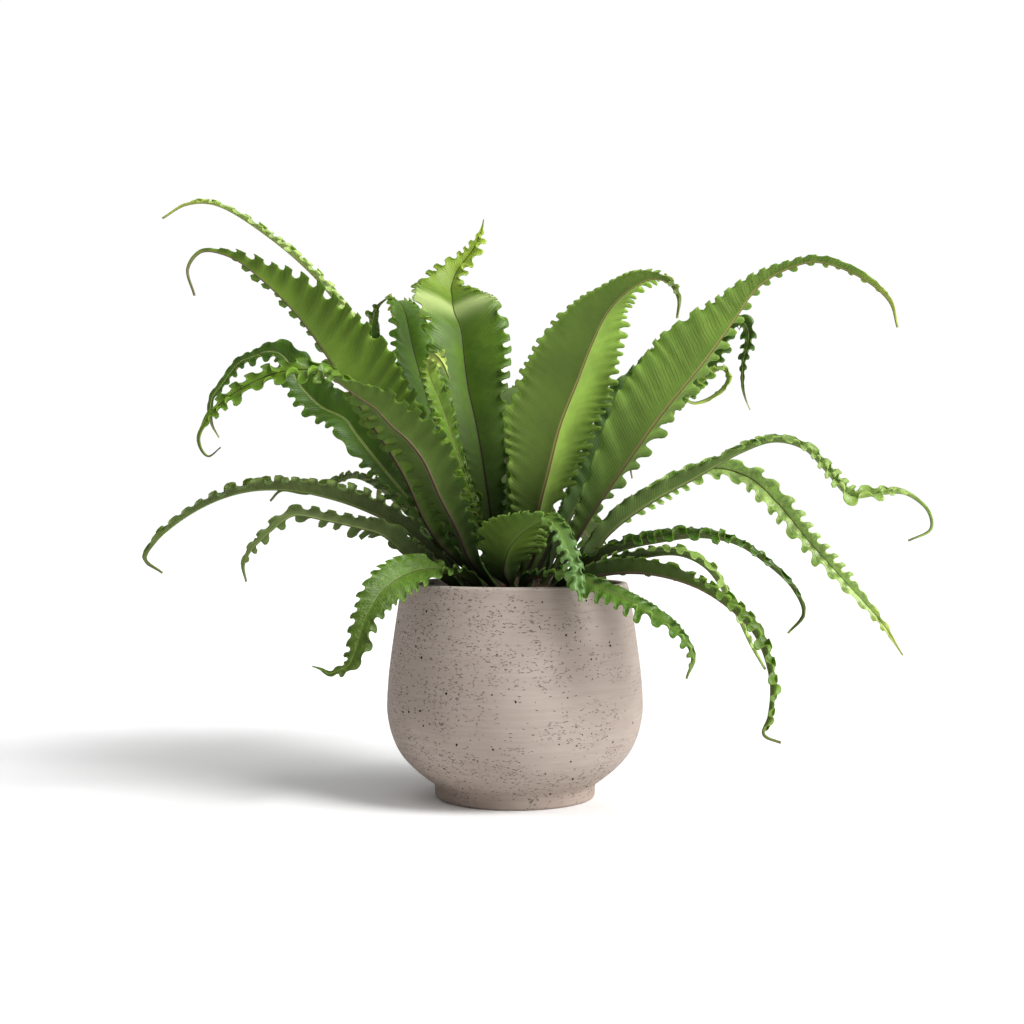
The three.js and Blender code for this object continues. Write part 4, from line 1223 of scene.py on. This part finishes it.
def make_scatter_tree(name, is_crumb, proportions):
    """Crumbs or pointed scales on some ground, each turned and sized at random."""
    nodes, given, out = new_tree(
        name, GEOMETRY,
        [("Ground", SHAPE), ("Pieces a square metre", FLOAT), ("Smallest", FLOAT),
         ("Largest", FLOAT), ("Seed", WHOLE), ("Finish", MATERIAL)],
        [("Pieces", SHAPE)])
    points = nodes.value("GeometryNodeDistributePointsOnFaces", {
        "Mesh": given["Ground"], "Density": given["Pieces a square metre"],
        "Seed": given["Seed"]})
    if is_crumb:
        shape = nodes.value("GeometryNodeMeshIcoSphere", {"Radius": 1.0, "Subdivisions": 2})
        noise = nodes.noise(nodes.value("GeometryNodeInputPosition"), 1.4, output=1)
        shape = nodes.value("GeometryNodeSetPosition", {
            "Geometry": shape, "Offset": (noise - (0.5, 0.5, 0.5)) * 1.3})
        turn = nodes.random((0.0, 0.0, 0.0), (6.28, 6.28, 6.28), given["Seed"] + 3.0)
        turn = nodes.value("FunctionNodeEulerToRotation", {"Euler": turn})
    else:
        shape = nodes.value("GeometryNodeMeshCone", {
            "Vertices": 5, "Side Segments": 3, "Radius Top": 0.02, "Radius Bottom": 0.34,
            "Depth": 3.2})
        spill = nodes.random((-0.5, -0.5, 0.3), (0.5, 0.5, 1.1), given["Seed"] + 3.0)
        aim = spill + nodes.value("GeometryNodeInputNormal") * 0.7
        turn = nodes.value("FunctionNodeAlignRotationToVector", {"Vector": aim}, axis="Z")
    size = nodes.random(0.0, 1.0, given["Seed"] + 1.0) ** 2.0
    size = nodes.blend(size, given["Smallest"], given["Largest"])
    squeeze = nodes.random((0.6, 0.6, 0.6), (1.0, 1.0, 1.0), given["Seed"] + 2.0) * proportions
    shape = nodes.painted(shape, given["Finish"])
    nodes.feed(out["Pieces"], nodes.copied(points, shape, turn, squeeze * size))
    return nodes.tree


def uneven(piece, amount, spacing, low, seed):
    """Raises and lowers what lies above a height, in slow waves."""
    random = np.random.default_rng(seed)
    waves = [(random.uniform(-1, 1, 2) * 2 * math.pi / spacing, random.uniform(0, 6))
             for _ in range(9)]
    for vertex in piece.data.vertices:
        x, y, z = vertex.co
        if z < low:
            continue
        total = sum(math.sin(direction[0] * x + direction[1] * y + start)
                    for direction, start in waves)
        vertex.co.z += amount * total / 3


def ground_between(inner, outer, height_at, sides=96, rings=10):
    """An open ring of ground, only to scatter pieces on."""
    radii = [between(inner, outer, ring / rings) for ring in range(rings + 1)]
    vertices = [point for radius in radii for point in ring_of(radius, height_at(radius), sides)]
    faces = []
    for ring in range(rings):
        for side in range(sides):
            following = (side + 1) % sides
            near, far = ring * sides, (ring + 1) * sides
            faces.append((near + side, far + side, far + following, near + following))
    mesh = bpy.data.meshes.new("ground")
    mesh.from_pydata(vertices, [], faces)
    return placed("ground", mesh)


def make_body(node, profile, sides, finish, waves):
    """A turned piece of ground. The waves are what uneven takes after the piece."""
    body = placed(node + "_body", turned_mesh(node + "_body", profile, sides))
    uneven(body, *waves)
    body.data.materials.append(finish)
    face_outwards(body, 50)
    finished(body, node, node)


def scatter(name, slot, ground, tree, finish, pieces, sizes, seed, smooth_degrees):
    """Pieces strewn over some ground. The first of pieces is not used; the second is how many a
    square metre.
    """
    values = {"Pieces a square metre": pieces[1], "Smallest": sizes[0],
              "Largest": sizes[1], "Seed": seed, "Finish": finish}
    strewn = run_tree(ground, tree, values, name)
    face_outwards(strewn, smooth_degrees)
    finished(strewn, slot)


def make_soil():
    seat = CROWN_RADIUS + SEAT_GAP
    steps = 16
    side = [(radius - SEAT_GAP, height + SEAT_GAP) for radius, height in INNER_WALL]
    top = [(SOIL_EDGE_RADIUS - (SOIL_EDGE_RADIUS - seat) * step / steps,
            SOIL_TOP + SOIL_RISE * step / steps) for step in range(1, steps + 1)]
    profile = ([(0, FLOOR_THICKNESS + SEAT_GAP)] + side + top
               + [(seat, CROWN_BOTTOM - SEAT_GAP), (0, CROWN_BOTTOM - SEAT_GAP)])
    mix = earth_finish("potting mix", paint(30, 22, 16), paint(62, 47, 35), 70.0)
    make_body("soil", profile, SOIL_SIDES, mix, (0.0009, 0.03, (SOIL_TOP + 0.8) * MM, 5))
    ground = ground_between(seat + 1, 77, lambda radius: SOIL_TOP + 1.6)
    tree = make_scatter_tree("soil crumbs", True, (1.0, 1.0, 0.6))
    bark = earth_finish("bark crumbs", paint(36, 26, 18), paint(84, 62, 44), 160.0)
    scatter("soil_crumbs", "soil", ground, tree, bark, (26000.0, 60000.0), (0.0009, 0.0034), 4, 40)


def make_crown():
    steps = 16
    radii = [CROWN_RADIUS * step / steps for step in range(steps, -1, -1)]
    profile = [(0, CROWN_BOTTOM), (CROWN_RADIUS, CROWN_BOTTOM)]
    profile += [(radius, crown_height(radius)) for radius in radii]
    brown = earth_finish("crown brown", paint(38, 27, 18), paint(82, 58, 38), 120.0)
    make_body("crown", profile, CROWN_SIDES, brown, (0.001, 0.016, CROWN_SHOULDER * MM, 8))
    ground = ground_between(2, CROWN_RADIUS - 1, crown_height)
    tree = make_scatter_tree("crown scales", False, (1.0, 0.45, 1.0))
    dry = earth_finish("crown scales", paint(34, 24, 16), paint(74, 54, 34), 200.0)
    scatter("crown_scales", "crown", ground, tree, dry, (60000.0, 160000.0), (0.0011, 0.0026), 9, 50)


# Floor, light and camera. A light has a name, a strength, a size in degrees and a place. The sky
# is brighter where the camera sees it than in the light that it gives.

SKY_STRENGTH = 0.28
SKY_SEEN = 1.02
LIGHTS = (("key", 2.5, 24, (1.0, -0.6, 1.05)), ("side", 3.4, 60, (1.0, -0.3, 0.3)),
          ("top", 0.7, 90, (-0.1, 0.1, 1.0)))
CAMERA_PLACE = (-2.2, -1100, 211)
CAMERA_PIXELS_FOCAL = 1476
CAMERA_PIXELS_WIDE = 1024
SENSOR_WIDTH = 36.0
FLOOR_REACH = 14.0


def make_stage():
    corners = [(-1, -1, 0), (1, -1, 0), (1, 1, 0), (-1, 1, 0)]
    mesh = bpy.data.meshes.new("floor")
    mesh.from_pydata([Vector(corner) * FLOOR_REACH for corner in corners], [], [(0, 1, 2, 3)])
    floor = placed("floor", mesh)
    material, nodes, surface = new_material("pale floor")
    nodes.fill(surface, {"Base Color": (0.95, 0.95, 0.95, 1.0), "Roughness": 0.9,
                         "Specular IOR Level": 0.0})
    mesh.materials.append(material)


def make_light():
    world = bpy.data.worlds.new("studio")
    bpy.context.scene.world = world
    world.use_nodes = True
    nodes = Nodes(world.node_tree)
    seen = nodes.values("ShaderNodeLightPath", ["Is Camera Ray"])[0]
    nodes.fill(world.node_tree.nodes["Background"], {
        "Color": (1.0, 1.0, 1.0, 1.0),
        "Strength": nodes.blend(seen, SKY_STRENGTH, SKY_SEEN)})
    for name, strength, angle, place in LIGHTS:
        light = bpy.data.lights.new(name, "SUN")
        light.energy = strength
        light.angle = math.radians(angle)
        lamp = bpy.data.objects.new(name, light)
        lamp.rotation_euler = (-Vector(place)).to_track_quat("-Z", "Y").to_euler()
        bpy.context.scene.collection.objects.link(lamp)


def make_camera():
    """A level camera in front of the pot, a little over the rim's height."""
    lens = bpy.data.cameras.new("camera")
    lens.sensor_width = SENSOR_WIDTH
    lens.lens = CAMERA_PIXELS_FOCAL / CAMERA_PIXELS_WIDE * SENSOR_WIDTH
    lens.clip_start = 0.01
    camera = bpy.data.objects.new("camera", lens)
    camera.location = Vector(CAMERA_PLACE) * MM
    camera.rotation_euler = (math.radians(90), 0, 0)
    bpy.context.scene.collection.objects.link(camera)
    bpy.context.scene.camera = camera


make_pot()
make_soil()
make_crown()
make_fronds()
make_stage()
make_light()
make_camera()
bpy.context.scene.view_settings.view_transform = "Standard"
